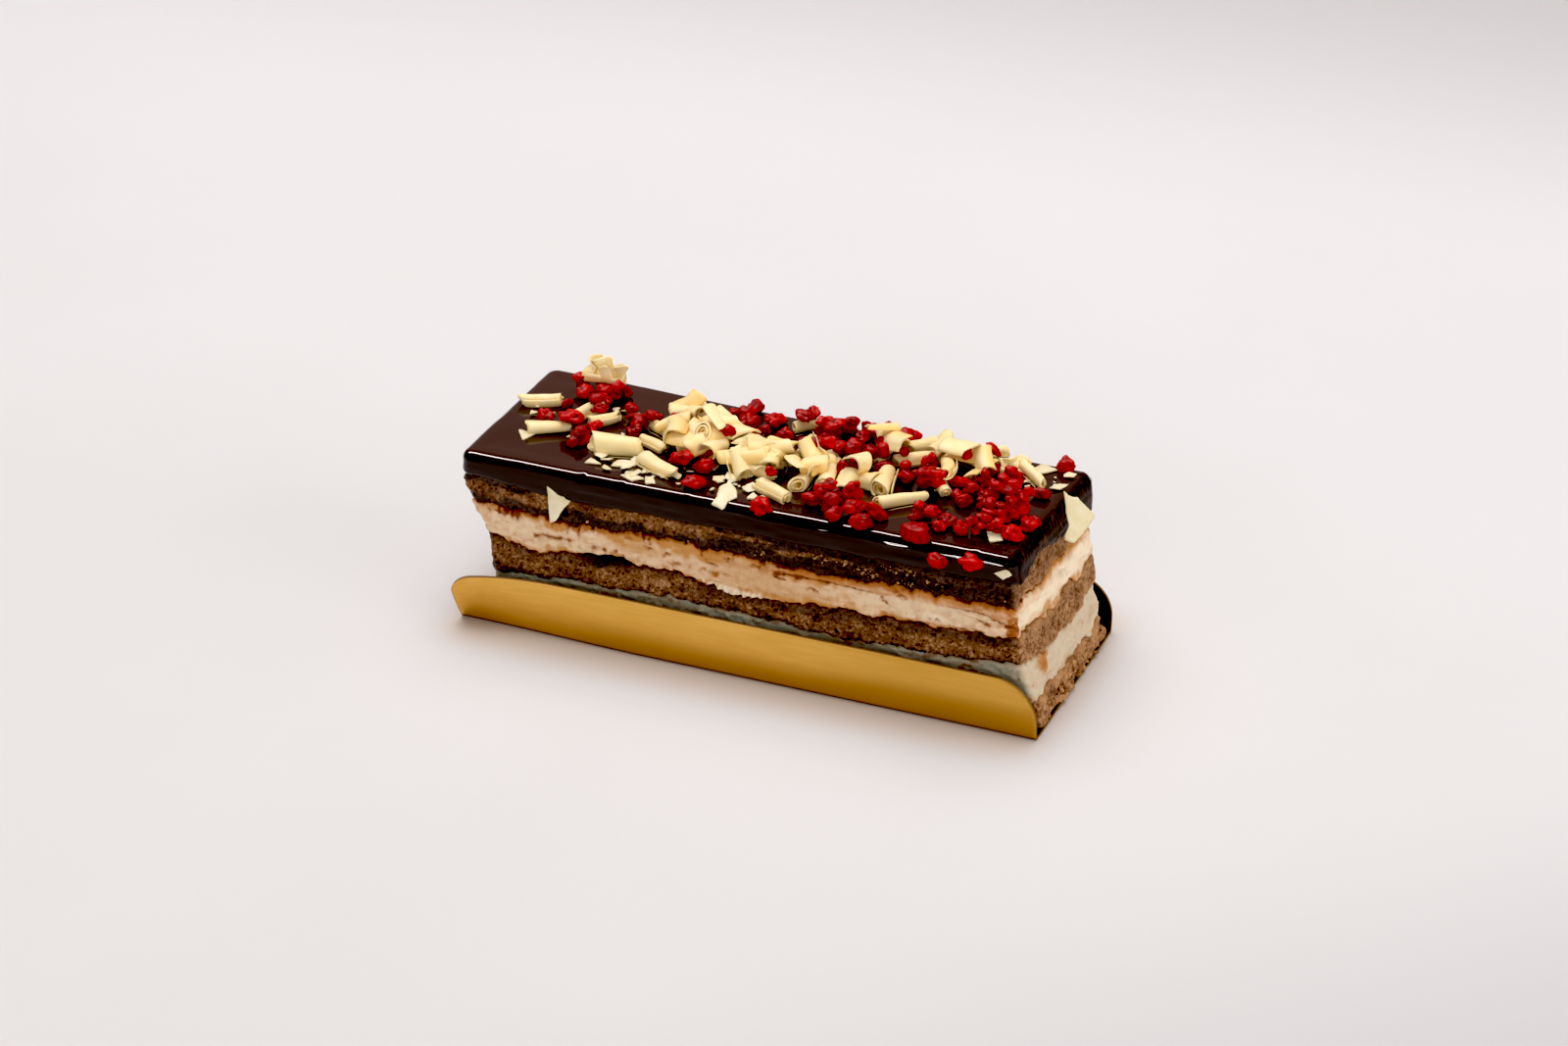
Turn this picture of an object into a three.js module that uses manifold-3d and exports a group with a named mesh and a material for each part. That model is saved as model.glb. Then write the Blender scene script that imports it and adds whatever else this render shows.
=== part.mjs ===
// Slice of black forest cake lying in its folded gold card.
// Three chocolate sponges and two creams lie under a poured dark glaze, which carries white chocolate
// curls, flat shards and bits of dried red fruit. Millimetres, +Z up, the front faces -Y, and the
// origin is under the middle of the card.
import * as THREE from "three";
import { mergeVertices } from "three/addons/utils/BufferGeometryUtils.js";
import Module from "manifold-3d";

const wasm = await Module();
wasm.setup();

// Folded card
const CARD_LENGTH = 128;
const CARD_WIDTH = 44;
const CARD_THICKNESS = 0.6;
const FLAP_HEIGHT = 12.6;
const LEFT_FLAP_CORNER = 4.2;
const RIGHT_FLAP_CORNER = 9;
const FLAP_LEAN = THREE.MathUtils.degToRad(5);
const FLARE_LEAN = THREE.MathUtils.degToRad(19);
const FLARE_REACH = 22;
const CARD_STEPS = 14;
const FLAP_CORNER_STEPS = 5;

// Slice: its plan is a rectangle with rounded corners. The ends lean and slump, so a row below holds a
// height and the x of the end there, and for the skew right end the x of its front and of its rear.
const HALF_WIDTH = 19.6;
const CORNER = 1.6;
const GAP = 0.3;
const SLICE_FOOT = CARD_THICKNESS + GAP;
const SPONGE_TOP = 36;
const GLAZE_TOP = 38.3;
const LEFT_END = [[0, -58], [17, -57.5], [20, -58.4], [26, -61.6], [30, -62.7], [39, -62.3]];
const RIGHT_END = [
  [0, 63.6, 63.8], [4, 62.9, 63.3], [7, 61.9, 62.6], [11, 60.4, 62], [15, 59.3, 61.5], [20, 58.5, 60.8],
  [26, 58.1, 60], [39, 57.2, 59.3],
];
const SIDE_STEPS = 26;
const END_STEPS = 10;
const CORNER_STEPS = 2;
const SPINE_STEPS = 5;

// Layers from the card up. Each top is given at even stations from left to right and runs straight
// through to the rear, but at the cut right end its middle sags. Bulge is how far the middle of a side
// stands out, and crag is how far single points of it stray.
const LAYERS = [
  {
    name: "sponge_bottom", sag: 1.2, bulge: 0.3, crag: 0.45,
    tops: [5.6, 5.2, 5.5, 5.6, 5.3, 5.2, 5.8],
  },
  {
    name: "cream_lower", sag: 2.2, bulge: -0.2, crag: 0.25,
    tops: [11.1, 12.3, 13.5, 12.9, 12.2, 12.9, 14.1],
  },
  {
    name: "sponge_middle", sag: 0.8, bulge: 0.3, crag: 0.45,
    tops: [19.3, 18.4, 19.4, 17.2, 18.4, 18.9, 19.6],
  },
  {
    name: "cream_upper", sag: 0, bulge: 0.1, crag: 0.25,
    tops: [27, 25.6, 26.8, 26.2, 25.8, 26.4, 26.8],
  },
  {
    name: "sponge_top", sag: 0, bulge: 0, crag: 0.3,
    tops: Array(7).fill(SPONGE_TOP),
  },
];
const ROW_FRACTIONS = [0.3, 0.7];
const GLAZED_FRACTION = 0.5;
const CRAG_SEED = 7;

// Glaze: a lid with a wavy lower lip. Its end at +X was cut, which smeared it thin and ragged.
const GLAZE_THICKNESS = 1.1;
const GLAZE_CUT_THICKNESS = 0.7;
const GLAZE_EDGE = 2;
const GLAZE_CUT_EDGE = 3.2;
const GLAZE_EDGE_STEPS = 3;
const LIP_INNER_RISE = 0.5;
const LIP_BEAD_RISE = 0.7;
const LIP_BEAD_SWELL = 1.1;
const SIDE_LIPS = [33.6, 31.8, 32.1, 32.5, 32.2, 32.2, 32.8];
const CUT_LIPS = [32, 34.2, 32.4, 30.6, 30.2];
const LEFT_LIPS = [33.7, 33.2, 33.4, 33, 33.5];

// Toppings. They rest on the glaze and on each other as balls do, sunk in a little so that they hold.
const NESTING = 0.75;
const BEDDING = 0.62;
const CURL_WALL = 0.8;
const CURL_SWEEP = THREE.MathUtils.degToRad(290);
const CURL_SEAM = THREE.MathUtils.degToRad(-40);
const CURL_ARC_STEPS = 5;
const SHARD_THICKNESS = 0.7;
const SHARD_OUTLINE = [[-0.5, -0.3], [0.1, -0.5], [0.5, -0.1], [0.25, 0.5], [-0.35, 0.4]];
const BIT_RADIUS = [1.5, 2.4];
const BIT_STRETCH = [1.15, 1, 0.9];
const BIT_STRAY = 1.6;
const BIT_TRIES = 3;
const BIT_SEED = 21;
const GOLDEN_ANGLE = Math.PI * (3 - Math.sqrt(5));

// White chocolate curls that lie on the glaze: x, y, turn in degrees, length, diameter
const LOW_CURLS = [
  [-57, 5, 25, 9, 3.2], [-46, 4, 70, 8, 3.4], [-50, -6, 25, 9, 3.4], [-41, 2, 45, 7, 3.2],
  [-33, -9, 10, 11, 5], [-27, -4, -20, 7, 2.8], [-22, -13, -25, 10, 3.6], [-26, 1, -30, 10, 3.2],
  [-19, -2, 40, 7, 3.8], [-17, 1, 100, 10, 4.2], [-13, 5, 0, 9, 4.4], [-4, -3, 30, 10, 5.4],
  [-6, -8, -45, 7, 4.2], [4, -14, -25, 9, 3.6], [8, -7, 90, 7.5, 3.6], [12, -5, 100, 7.5, 4.2],
  [3, 4, 90, 11, 3.2], [11, 2, -45, 7.5, 3.2], [18, 10, 105, 10, 3.2], [23, -2, 100, 9, 4.2],
  [29, -8, 40, 10.5, 3.4], [34, 2, 120, 9, 3.2], [26, 10, 35, 10.5, 3.6], [34, 14, -20, 7.5, 3],
  [37, 18, 25, 10, 3.2], [45, 13, 15, 6, 4.6], [50, 11, -25, 7.5, 3.2], [-1, 15, 45, 6, 3.6],
];

// Curls that lie on top of the rest, in the same form
const HIGH_CURLS = [[-47, 16, 0, 9, 3.8], [-25, 9, 20, 7, 5.6], [25, 16, 40, 8, 3.6]];

// Drifts of dried fruit bits: x, y, reach along x, reach along y, count
const BIT_DRIFTS = [
  [-47, 13, 7, 6, 7], [-46, -3, 9, 8, 5], [-30, 4, 9, 3, 4], [-16, -8, 7, 4, 3], [-10, 11, 7, 7, 6],
  [8, 16, 14, 4, 11], [13, 3, 8, 6, 7], [19, -15, 8, 4, 6], [30, 2, 6, 6, 5], [44, 4, 7, 7, 7],
  [39, -13, 7, 3, 5], [52, -8, 5, 7, 7],
];

// Single bits that stick to the rim and to the front of the glaze: x, y, z, radius
const STUCK_BITS = [
  [42.4, -22.1, 35.6, 2], [49, -22.1, 36.6, 2.1], [4, -19.8, 38.6, 2.2], [25, -19, 39.4, 2.2],
  [36.5, -19, 39.2, 2.4], [54.5, 18.4, 39.6, 2.2],
];

// Flat white shards: x, y, z, length, width, turn about Z, tilt from the flat, in degrees
const SHARDS = [
  [-28.5, -13.4, 38.6, 6, 3, 20, 8], [-36, -15, 38.6, 4.6, 3, -15, 6], [-25.5, -18, 38.6, 5, 3, 10, 5],
  [-21.5, -18, 38.6, 4.4, 3, -30, 10], [-5, -18, 39.2, 6.5, 5.4, 12, 20], [-12.5, -8, 38.6, 4, 3, 30, 8],
  [0.5, -16.8, 38.6, 4, 2.6, -20, 6], [-9, -12.2, 38.6, 4, 3, 15, 8], [-54, -9.4, 38.6, 4.4, 3.4, 40, 8],
  [50.5, 16.6, 38.7, 5, 3.6, 15, 10], [51, -14, 38.8, 5.4, 4, -20, 14], [55.4, -20.6, 34.8, 4, 3, 0, 82],
  [61.2, 6.3, 34.8, 8.2, 9.4, 59, 62], [-41, -21, 30.5, 5, 7.6, 0, 86],
];

// A number generator with a seed, so that every build draws the same numbers between 0 and 1.
function seeded(seed) {
  let state = seed;
  return () => {
    state = (Math.imul(state, 1664525) + 1013904223) >>> 0;
    return state / 2 ** 32;
  };
}

// Where an end stands at a height, from its rows, and at a share of the way from its front to its rear.
function endAt(rows, z, share) {
  const last = rows.length - 1;
  const next = z < rows[last][0] ? Math.max(1, rows.findIndex(([height]) => height > z)) : last;
  const [low, high] = [rows[next - 1], rows[next]];
  const rise = THREE.MathUtils.clamp((z - low[0]) / (high[0] - low[0]), 0, 1);
  const front = THREE.MathUtils.lerp(low[1], high[1], rise);
  const rear = THREE.MathUtils.lerp(low.at(-1), high.at(-1), rise);
  return THREE.MathUtils.lerp(front, rear, share);
}

// The value at a share of the way along evenly spaced values, along smooth steps between them.
function alongStations(values, share) {
  const place = THREE.MathUtils.clamp(share, 0, 1) * (values.length - 1);
  const index = Math.min(Math.floor(place), values.length - 2);
  const blend = THREE.MathUtils.smoothstep(place - index, 0, 1);
  return THREE.MathUtils.lerp(values[index], values[index + 1], blend);
}

// The walk round the plan, anticlockwise from the front left. Each step holds its place on the
// rectangle inside the rounded corners, from -1 to 1 both ways, and the way that its side faces.
function walkRound() {
  const corners = [[1, -1], [1, 1], [-1, 1], [-1, -1]];
  const steps = [];
  corners.forEach(([u, v], index) => {
    const [fromU, fromV] = corners[(index + 3) % 4];
    const start = (index - 1) * Math.PI / 2;
    const sideSteps = index % 2 ? END_STEPS : SIDE_STEPS;
    for (let i = 0; i < sideSteps; i++) {
      const share = i / sideSteps;
      const u0 = THREE.MathUtils.lerp(fromU, u, share);
      const v0 = THREE.MathUtils.lerp(fromV, v, share);
      steps.push({ u: u0, v: v0, nx: Math.cos(start), ny: Math.sin(start) });
    }
    for (let i = 0; i < CORNER_STEPS; i++) {
      const angle = start + (i / CORNER_STEPS) * Math.PI / 2;
      steps.push({ u, v, nx: Math.cos(angle), ny: Math.sin(angle) });
    }
  });
  return steps;
}
const WALK = walkRound();

// The point of a step of the walk at a height, with the plan grown outwards.
function planPoint(step, z, grow) {
  const share = (step.v + 1) / 2;
  const left = endAt(LEFT_END, z, share) + CORNER;
  const right = endAt(RIGHT_END, z, share) - CORNER;
  const x = THREE.MathUtils.mapLinear(step.u, -1, 1, left, right) + step.nx * (CORNER + grow);
  const y = step.v * (HALF_WIDTH - CORNER) + step.ny * (CORNER + grow);
  return new THREE.Vector3(x, y, z);
}

// A layer's top at a step of the walk, with the sag across the right end.
function layerTop({ tops, sag }, step) {
  const acrossRightEnd = Math.max(0, step.u) * (1 - step.v ** 2);
  return alongStations(tops, (step.u + 1) / 2) - sag * acrossRightEnd;
}

// The triangles, seen from above, between a ring and a spine along the middle of its plan.
function capTriangles(ring) {
  const height = ring.reduce((sum, point) => sum + point.z, 0) / ring.length;
  const left = endAt(LEFT_END, height, 0.5) + HALF_WIDTH;
  const right = endAt(RIGHT_END, height, 0.5) - HALF_WIDTH;
  const spine = Array.from({ length: SPINE_STEPS + 1 }, (_, j) => (
    new THREE.Vector3(THREE.MathUtils.lerp(left, right, j / SPINE_STEPS), 0, height)
  ));
  const nearest = ring.map(({ x }) => {
    const share = THREE.MathUtils.clamp((x - left) / (right - left), 0, 1);
    return ring.length + Math.round(share * SPINE_STEPS);
  });
  const triangles = [];
  ring.forEach((_, k) => {
    const next = (k + 1) % ring.length;
    triangles.push([k, next, nearest[k]]);
    if (nearest[next] !== nearest[k]) triangles.push([next, nearest[next], nearest[k]]);
  });
  return { spine, triangles };
}

// A closed solid through a stack of rings that all have one point for each step of the walk.
function ringSolid(rings) {
  const count = WALK.length;
  const foot = capTriangles(rings[0]);
  const roof = capTriangles(rings.at(-1));
  const lastRing = (rings.length - 1) * count;
  const footSpine = rings.length * count;
  const roofSpine = footSpine + foot.spine.length;
  const index = [];
  for (let row = 0; row + 1 < rings.length; row++) {
    for (let k = 0; k < count; k++) {
      const a = row * count + k;
      const b = row * count + (k + 1) % count;
      index.push(a, b, b + count, a, b + count, a + count);
    }
  }
  const onFoot = (i) => (i < count ? i : footSpine + i - count);
  const onRoof = (i) => (i < count ? lastRing + i : roofSpine + i - count);
  for (const [a, b, c] of foot.triangles) index.push(onFoot(c), onFoot(b), onFoot(a));
  for (const [a, b, c] of roof.triangles) index.push(onRoof(a), onRoof(b), onRoof(c));
  const points = [...rings.flat(), ...foot.spine, ...roof.spine];
  const geometry = new THREE.BufferGeometry();
  geometry.setAttribute("position", new THREE.Float32BufferAttribute(points.flatMap((p) => p.toArray()), 3));
  geometry.setIndex(index);
  return geometry;
}

// The five layers. Neighbours share one ring, moved half a gap up for one and down for the other.
// The top sponge is smooth above the fraction at which the glaze covers it.
function layerGeometries() {
  const draw = seeded(CRAG_SEED);
  const stray = (crag) => crag * (2 * draw() - 1);
  const foot = WALK.map((step) => planPoint(step, SLICE_FOOT, stray(LAYERS[0].crag)));
  const tops = LAYERS.map((layer) => WALK.map((step) => {
    const roughness = layer.name === "sponge_top" ? 0 : layer.crag;
    return planPoint(step, layerTop(layer, step), stray(roughness));
  }));
  const lift = new THREE.Vector3(0, 0, GAP / 2);
  return LAYERS.map(({ name, bulge, crag }, level) => {
    const under = level ? tops[level - 1].map((point) => point.clone().add(lift)) : foot;
    const over = tops[level].map((point) => point.clone().sub(lift));
    const rows = ROW_FRACTIONS.map((fraction) => WALK.map((step, k) => {
      const z = THREE.MathUtils.lerp(under[k].z, over[k].z, fraction);
      const glazed = name === "sponge_top" && fraction > GLAZED_FRACTION;
      return planPoint(step, z, glazed ? 0 : bulge + stray(crag));
    }));
    return { name, geometry: ringSolid([under, ...rows, over]) };
  });
}

// The glaze without toppings: up the inside, round the lip, up the outside and over the rounded edge.
function glazeGeometry() {
  const lipOf = (step) => {
    const side = alongStations(SIDE_LIPS, (step.u + 1) / 2);
    const end = alongStations(step.nx > 0 ? CUT_LIPS : LEFT_LIPS, (step.v + 1) / 2);
    return side * step.ny ** 2 + end * step.nx ** 2;
  };
  const cutShare = (step) => (step.nx > 0 ? step.nx ** 2 : 0);
  const thicknessOf = (step) => THREE.MathUtils.lerp(GLAZE_THICKNESS, GLAZE_CUT_THICKNESS, cutShare(step));
  const edgeOf = (step) => THREE.MathUtils.lerp(GLAZE_EDGE, GLAZE_CUT_EDGE, cutShare(step));
  const ring = (heightOf, growOf) => WALK.map((step) => planPoint(step, heightOf(step), growOf(step)));
  const rings = [
    ring(() => SPONGE_TOP + GAP / 2, () => GAP),
    ring((step) => lipOf(step) + LIP_INNER_RISE, () => GAP),
    ring(lipOf, (step) => (GAP + thicknessOf(step)) / 2),
    ring((step) => lipOf(step) + LIP_BEAD_RISE, (step) => thicknessOf(step) * LIP_BEAD_SWELL),
  ];
  for (let i = 0; i <= GLAZE_EDGE_STEPS; i++) {
    const angle = (i / GLAZE_EDGE_STEPS) * Math.PI / 2;
    const heightOf = (step) => GLAZE_TOP - edgeOf(step) * (1 - Math.sin(angle));
    rings.push(ring(heightOf, (step) => thicknessOf(step) - edgeOf(step) * (1 - Math.cos(angle))));
  }
  return ringSolid(rings);
}

// The balls that later toppings can rest on, and the height at which a ball of this radius comes to rest.
const balls = [];
function restingHeight(x, y, radius) {
  let z = GLAZE_TOP + BEDDING * radius;
  for (const ball of balls) {
    const reach = NESTING * (ball.radius + radius);
    const away = Math.hypot(ball.x - x, ball.y - y);
    if (away < reach) z = Math.max(z, ball.z + Math.sqrt(reach ** 2 - away ** 2));
  }
  return z;
}

// The two ends of a curl's axis once it has come to rest, and its balls added to the rest.
function restCurl([x, y, turn, length, diameter]) {
  const radius = diameter / 2;
  const angle = THREE.MathUtils.degToRad(turn);
  const half = (length - diameter) / 2;
  const shares = [-1, 0, 1];
  const reachX = half * Math.cos(angle);
  const reachY = half * Math.sin(angle);
  const spots = shares.map((share) => [x + share * reachX, y + share * reachY]);
  const heights = spots.map(([px, py]) => restingHeight(px, py, radius));
  const raise = Math.max(0, heights[1] - (heights[0] + heights[2]) / 2);
  const middle = (heights[0] + heights[2]) / 2 + raise;
  const rise = (heights[2] - heights[0]) / 2;
  spots.forEach(([px, py], i) => balls.push({ x: px, y: py, z: middle + shares[i] * rise, radius }));
  const reach = new THREE.Vector3(reachX, reachY, rise).setLength(length / 2);
  const centre = new THREE.Vector3(x, y, middle);
  return { from: centre.clone().sub(reach), to: centre.clone().add(reach), radius };
}

// A curl: a band of chocolate rolled up round its axis, open along a low seam and at both ends.
function curlGeometry({ from, to, radius }) {
  const band = new THREE.Shape();
  const start = CURL_SEAM + Math.PI - CURL_SWEEP / 2;
  band.absarc(0, 0, radius, start, start + CURL_SWEEP, false);
  band.absarc(0, 0, radius - CURL_WALL, start + CURL_SWEEP, start, true);
  const depth = from.distanceTo(to);
  const options = { depth, bevelEnabled: false, curveSegments: CURL_ARC_STEPS };
  const geometry = new THREE.ExtrudeGeometry(band, options);
  const along = to.clone().sub(from).normalize();
  const across = new THREE.Vector3(0, 0, 1).cross(along).normalize();
  const over = along.clone().cross(across);
  geometry.applyMatrix4(new THREE.Matrix4().makeBasis(across, over, along).setPosition(from));
  return geometry;
}

// The places of the fruit bits: each drift is a sunflower spiral whose points stray a little, and a bit
// takes the lowest of a few such places, as if it had rolled there.
function restBits() {
  const draw = seeded(BIT_SEED);
  const bits = [];
  for (const [x, y, reachX, reachY, count] of BIT_DRIFTS) {
    for (let i = 0; i < count; i++) {
      const out = Math.sqrt((i + 0.5) / count);
      const angle = i * GOLDEN_ANGLE + x;
      const radius = THREE.MathUtils.lerp(...BIT_RADIUS, draw());
      const places = Array.from({ length: BIT_TRIES }, () => {
        const px = x + reachX * out * Math.cos(angle) + BIT_STRAY * (2 * draw() - 1);
        const py = y + reachY * out * Math.sin(angle) + BIT_STRAY * (2 * draw() - 1);
        return { x: px, y: py, z: restingHeight(px, py, radius), radius };
      });
      const lowest = places.reduce((low, place) => (place.z < low.z ? place : low));
      balls.push(lowest);
      bits.push(lowest);
    }
  }
  return [...bits, ...STUCK_BITS.map(([x, y, z, radius]) => ({ x, y, z, radius }))];
}

// A fruit bit: a lump with few sides, a little longer than it is thick.
function bitGeometry({ x, y, z, radius }, index) {
  const geometry = new THREE.IcosahedronGeometry(radius, 0);
  geometry.scale(...BIT_STRETCH);
  geometry.rotateZ(index * GOLDEN_ANGLE);
  geometry.translate(x, y, z);
  return geometry;
}

// A shard: a thin plate with five corners, turned about Z after it is tilted up about its length.
function shardGeometry([x, y, z, length, width, turn, tilt]) {
  const corners = SHARD_OUTLINE.map(([u, v]) => new THREE.Vector2(u * length, v * width));
  const shape = new THREE.Shape(corners);
  const geometry = new THREE.ExtrudeGeometry(shape, { depth: SHARD_THICKNESS, bevelEnabled: false });
  geometry.translate(0, 0, -SHARD_THICKNESS / 2);
  geometry.rotateX(THREE.MathUtils.degToRad(tilt));
  geometry.rotateZ(THREE.MathUtils.degToRad(turn));
  geometry.translate(x, y, z);
  return geometry;
}

// The pieces fused into one closed body, without sealed hollows and loose scraps.
function fuse(geometries) {
  const solids = geometries.map((geometry) => {
    geometry.deleteAttribute("normal");
    geometry.deleteAttribute("uv");
    const merged = mergeVertices(geometry);
    const vertProperties = new Float32Array(merged.attributes.position.array);
    const triVerts = new Uint32Array(merged.index.array);
    return new wasm.Manifold(new wasm.Mesh({ numProp: 3, vertProperties, triVerts }));
  });
  const joined = solids.reduce((whole, solid) => whole.add(solid));
  const bodies = joined.decompose().sort((a, b) => b.volume() - a.volume());
  const mesh = bodies[0].getMesh();
  const fused = new THREE.BufferGeometry();
  fused.setAttribute("position", new THREE.BufferAttribute(mesh.vertProperties, 3));
  fused.setIndex(new THREE.BufferAttribute(mesh.triVerts, 1));
  return fused;
}

// The glaze with all its toppings.
function toppedGlaze() {
  const lowCurls = LOW_CURLS.map(restCurl);
  const bits = restBits();
  const highCurls = HIGH_CURLS.map(restCurl);
  return fuse([
    glazeGeometry(),
    ...[...lowCurls, ...highCurls].map(curlGeometry),
    ...bits.map(bitGeometry),
    ...SHARDS.map(shardGeometry),
  ]);
}

// How far a rounded corner of a flap has come in at a height up the flap.
function cornerInset(height, radius) {
  const rise = THREE.MathUtils.clamp(height - (FLAP_HEIGHT - radius), 0, radius);
  return radius - Math.sqrt(radius ** 2 - rise ** 2);
}

// The card: a sheet folded up along both long sides, with rounded flap corners and a flared left end.
function cardGeometry() {
  const heights = [0];
  for (let i = 0; i <= FLAP_CORNER_STEPS; i++) {
    const rise = Math.sin((i / FLAP_CORNER_STEPS) * Math.PI / 2);
    heights.push(FLAP_HEIGHT - RIGHT_FLAP_CORNER * (1 - rise));
  }
  const frontRows = heights.map((height) => [-1, height]).reverse();
  const rows = frontRows.concat(heights.map((height) => [1, height]));
  const sheetPoint = (share, [side, height], thickness) => {
    const left = cornerInset(height, LEFT_FLAP_CORNER) - CARD_LENGTH / 2;
    const right = CARD_LENGTH / 2 - cornerInset(height, RIGHT_FLAP_CORNER);
    const x = THREE.MathUtils.lerp(left, right, share);
    const flare = Math.max(0, 1 - (x + CARD_LENGTH / 2) / FLARE_REACH) ** 2;
    const lean = FLAP_LEAN + FLARE_LEAN * flare;
    const foldInset = thickness * Math.tan((Math.PI / 2 - lean) / 2);
    const inward = height > 0 ? thickness * Math.cos(lean) : foldInset;
    const upward = height > 0 ? thickness * Math.sin(lean) : thickness;
    const y = side * (CARD_WIDTH / 2 + height * Math.sin(lean) - inward);
    return [x, y, height * Math.cos(lean) + upward];
  };
  const columns = CARD_STEPS + 1;
  const positions = [0, CARD_THICKNESS].flatMap((thickness) => rows.flatMap((row) => (
    Array.from({ length: columns }, (_, i) => sheetPoint(i / CARD_STEPS, row, thickness)).flat()
  )));
  const face = rows.length * columns;
  const index = [];
  const quad = (a, b, c, d) => index.push(a, b, c, a, c, d);
  for (let row = 0; row + 1 < rows.length; row++) {
    for (let i = 0; i < CARD_STEPS; i++) {
      const a = row * columns + i;
      quad(a, a + columns, a + columns + 1, a + 1);
      quad(face + a, face + a + 1, face + a + columns + 1, face + a + columns);
    }
    const left = row * columns;
    const right = left + CARD_STEPS;
    quad(left + columns, left, face + left, face + left + columns);
    quad(right, right + columns, face + right + columns, face + right);
  }
  const lastRow = (rows.length - 1) * columns;
  for (let i = 0; i < CARD_STEPS; i++) {
    quad(i, i + 1, face + i + 1, face + i);
    quad(lastRow + i + 1, lastRow + i, face + lastRow + i, face + lastRow + i + 1);
  }
  const geometry = new THREE.BufferGeometry();
  geometry.setAttribute("position", new THREE.Float32BufferAttribute(positions, 3));
  geometry.setIndex(index);
  return geometry;
}

// Colours and finishes
const FINISHES = {
  card: { color: 0xc8963c, roughness: 0.35, metalness: 0.9 },
  sponge_bottom: { color: 0x83553a, roughness: 0.9, metalness: 0 },
  cream_lower: { color: 0xe0d2bc, roughness: 0.5, metalness: 0 },
  sponge_middle: { color: 0x5a3018, roughness: 0.9, metalness: 0 },
  cream_upper: { color: 0xd4b894, roughness: 0.5, metalness: 0 },
  sponge_top: { color: 0x4a2410, roughness: 0.85, metalness: 0 },
  glaze: { color: 0x1c0b06, roughness: 0.15, metalness: 0 },
};

const cake = new THREE.Group();
function addPiece(name, geometry) {
  geometry.computeVertexNormals();
  const piece = new THREE.Mesh(geometry, new THREE.MeshStandardMaterial(FINISHES[name]));
  piece.name = name;
  cake.add(piece);
}
addPiece("card", cardGeometry());
for (const { name, geometry } of layerGeometries()) addPiece(name, geometry);
addPiece("glaze", toppedGlaze());

export default cake;
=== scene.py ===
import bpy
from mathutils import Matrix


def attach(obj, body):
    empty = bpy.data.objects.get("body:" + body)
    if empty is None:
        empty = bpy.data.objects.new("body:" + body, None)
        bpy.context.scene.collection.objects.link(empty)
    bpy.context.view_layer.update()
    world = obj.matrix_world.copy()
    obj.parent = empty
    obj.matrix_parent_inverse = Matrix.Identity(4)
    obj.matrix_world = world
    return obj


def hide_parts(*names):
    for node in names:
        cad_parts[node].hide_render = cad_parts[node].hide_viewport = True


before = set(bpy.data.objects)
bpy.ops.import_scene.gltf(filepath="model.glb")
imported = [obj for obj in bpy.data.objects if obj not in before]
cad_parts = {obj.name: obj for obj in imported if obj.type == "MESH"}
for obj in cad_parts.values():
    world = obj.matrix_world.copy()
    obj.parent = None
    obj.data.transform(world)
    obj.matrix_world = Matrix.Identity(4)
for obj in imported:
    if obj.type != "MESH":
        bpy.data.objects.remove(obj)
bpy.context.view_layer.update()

import copy
import math

import bmesh
import bpy
import numpy as np
from mathutils import Matrix, Vector

# Looks of a slice of black forest cake in its folded gold card. Lengths are millimetres up to the point
# where a mesh is made, +Z is up, the front faces -Y and the origin is under the middle of the card.
MM = 0.001

# Folded card
CARD_LENGTH = 128
CARD_WIDTH = 44
CARD_THICKNESS = 0.6
FLAP_HEIGHT = 12.6
LEFT_FLAP_CORNER = 4.2
RIGHT_FLAP_CORNER = 9
FLAP_LEAN = math.radians(5)
FLARE_LEAN = math.radians(19)
FLARE_REACH = 22
FOLD_RADIUS = 0.7
FOOT_SPREAD = 1.1
FLAP_CURVE = math.radians(7)
CARD_COLUMNS = 170
BASE_ROWS = 12
FOLD_ROWS = 9
FLAP_ROWS = 26

# Slice
HALF_WIDTH = 19.6
LONG_SIDE = 119
CORNER = 1.6
GAP = 0.3
SLICE_FOOT = CARD_THICKNESS + GAP / 2
REAR_SPREAD = 1.6
SPONGE_TOP = 36
GLAZE_TOP = 38.3

# Ends of the slice: height, x at the front, and x at the rear where it differs
LEFT_END = [(0, -58), (17, -57.5), (20, -58.4), (26, -61.6), (30, -62.7), (39, -62.3)]
RIGHT_END = [
    (0, 63.6, 63.8), (4, 62.9, 63.3), (7, 61.9, 62.6), (11, 60.4, 62), (15, 59.3, 61.5), (20, 58.5, 60.8),
    (26, 58.1, 60), (39, 57.2, 59.3),
]

# Height of each layer's top at even stations from left to right, and its sag in the middle of the cut
LAYER_TOPS = {
    "sponge_bottom": (5.6, 5.2, 5.5, 5.6, 5.3, 5.2, 5.8),
    "cream_lower": (11.1, 12.3, 13.5, 12.9, 12.2, 12.9, 14.1),
    "sponge_middle": (19.3, 18.4, 19.4, 17.2, 18.4, 18.9, 19.6),
    "cream_upper": (27, 25.6, 26.8, 26.2, 25.8, 26.4, 26.8),
    "sponge_top": (SPONGE_TOP,) * 7,
}
LAYER_SAGS = {"sponge_bottom": 1.2, "cream_lower": 2.2, "sponge_middle": 0.8}
LAYER_NAMES = list(LAYER_TOPS)

# How far the sides of each layer stand out from the plan
LAYER_BULGES = {
    "sponge_bottom": 0.3, "cream_lower": -0.2, "sponge_middle": 0.3, "cream_upper": 0.1, "sponge_top": 0,
}
LAYER_STEP = 0.25
CREAM_OVERLAP = 0.5
SPINE_STEPS = 40

# Where the upper cream slumps or lifts along its foot: x, width, rise. A hollow with painted shade in it
# opens below it, given by the height of its roof along x.
CREAM_SLUMPS = [(-47.5, 5.5, -1.4), (-60, 4, 1)]
HOLLOW_ROOF = [(-38, 18.8), (-35, 19.7), (-30, 20.2), (-27, 20.3), (-25, 19.4), (-23.5, 18.4)]

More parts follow.
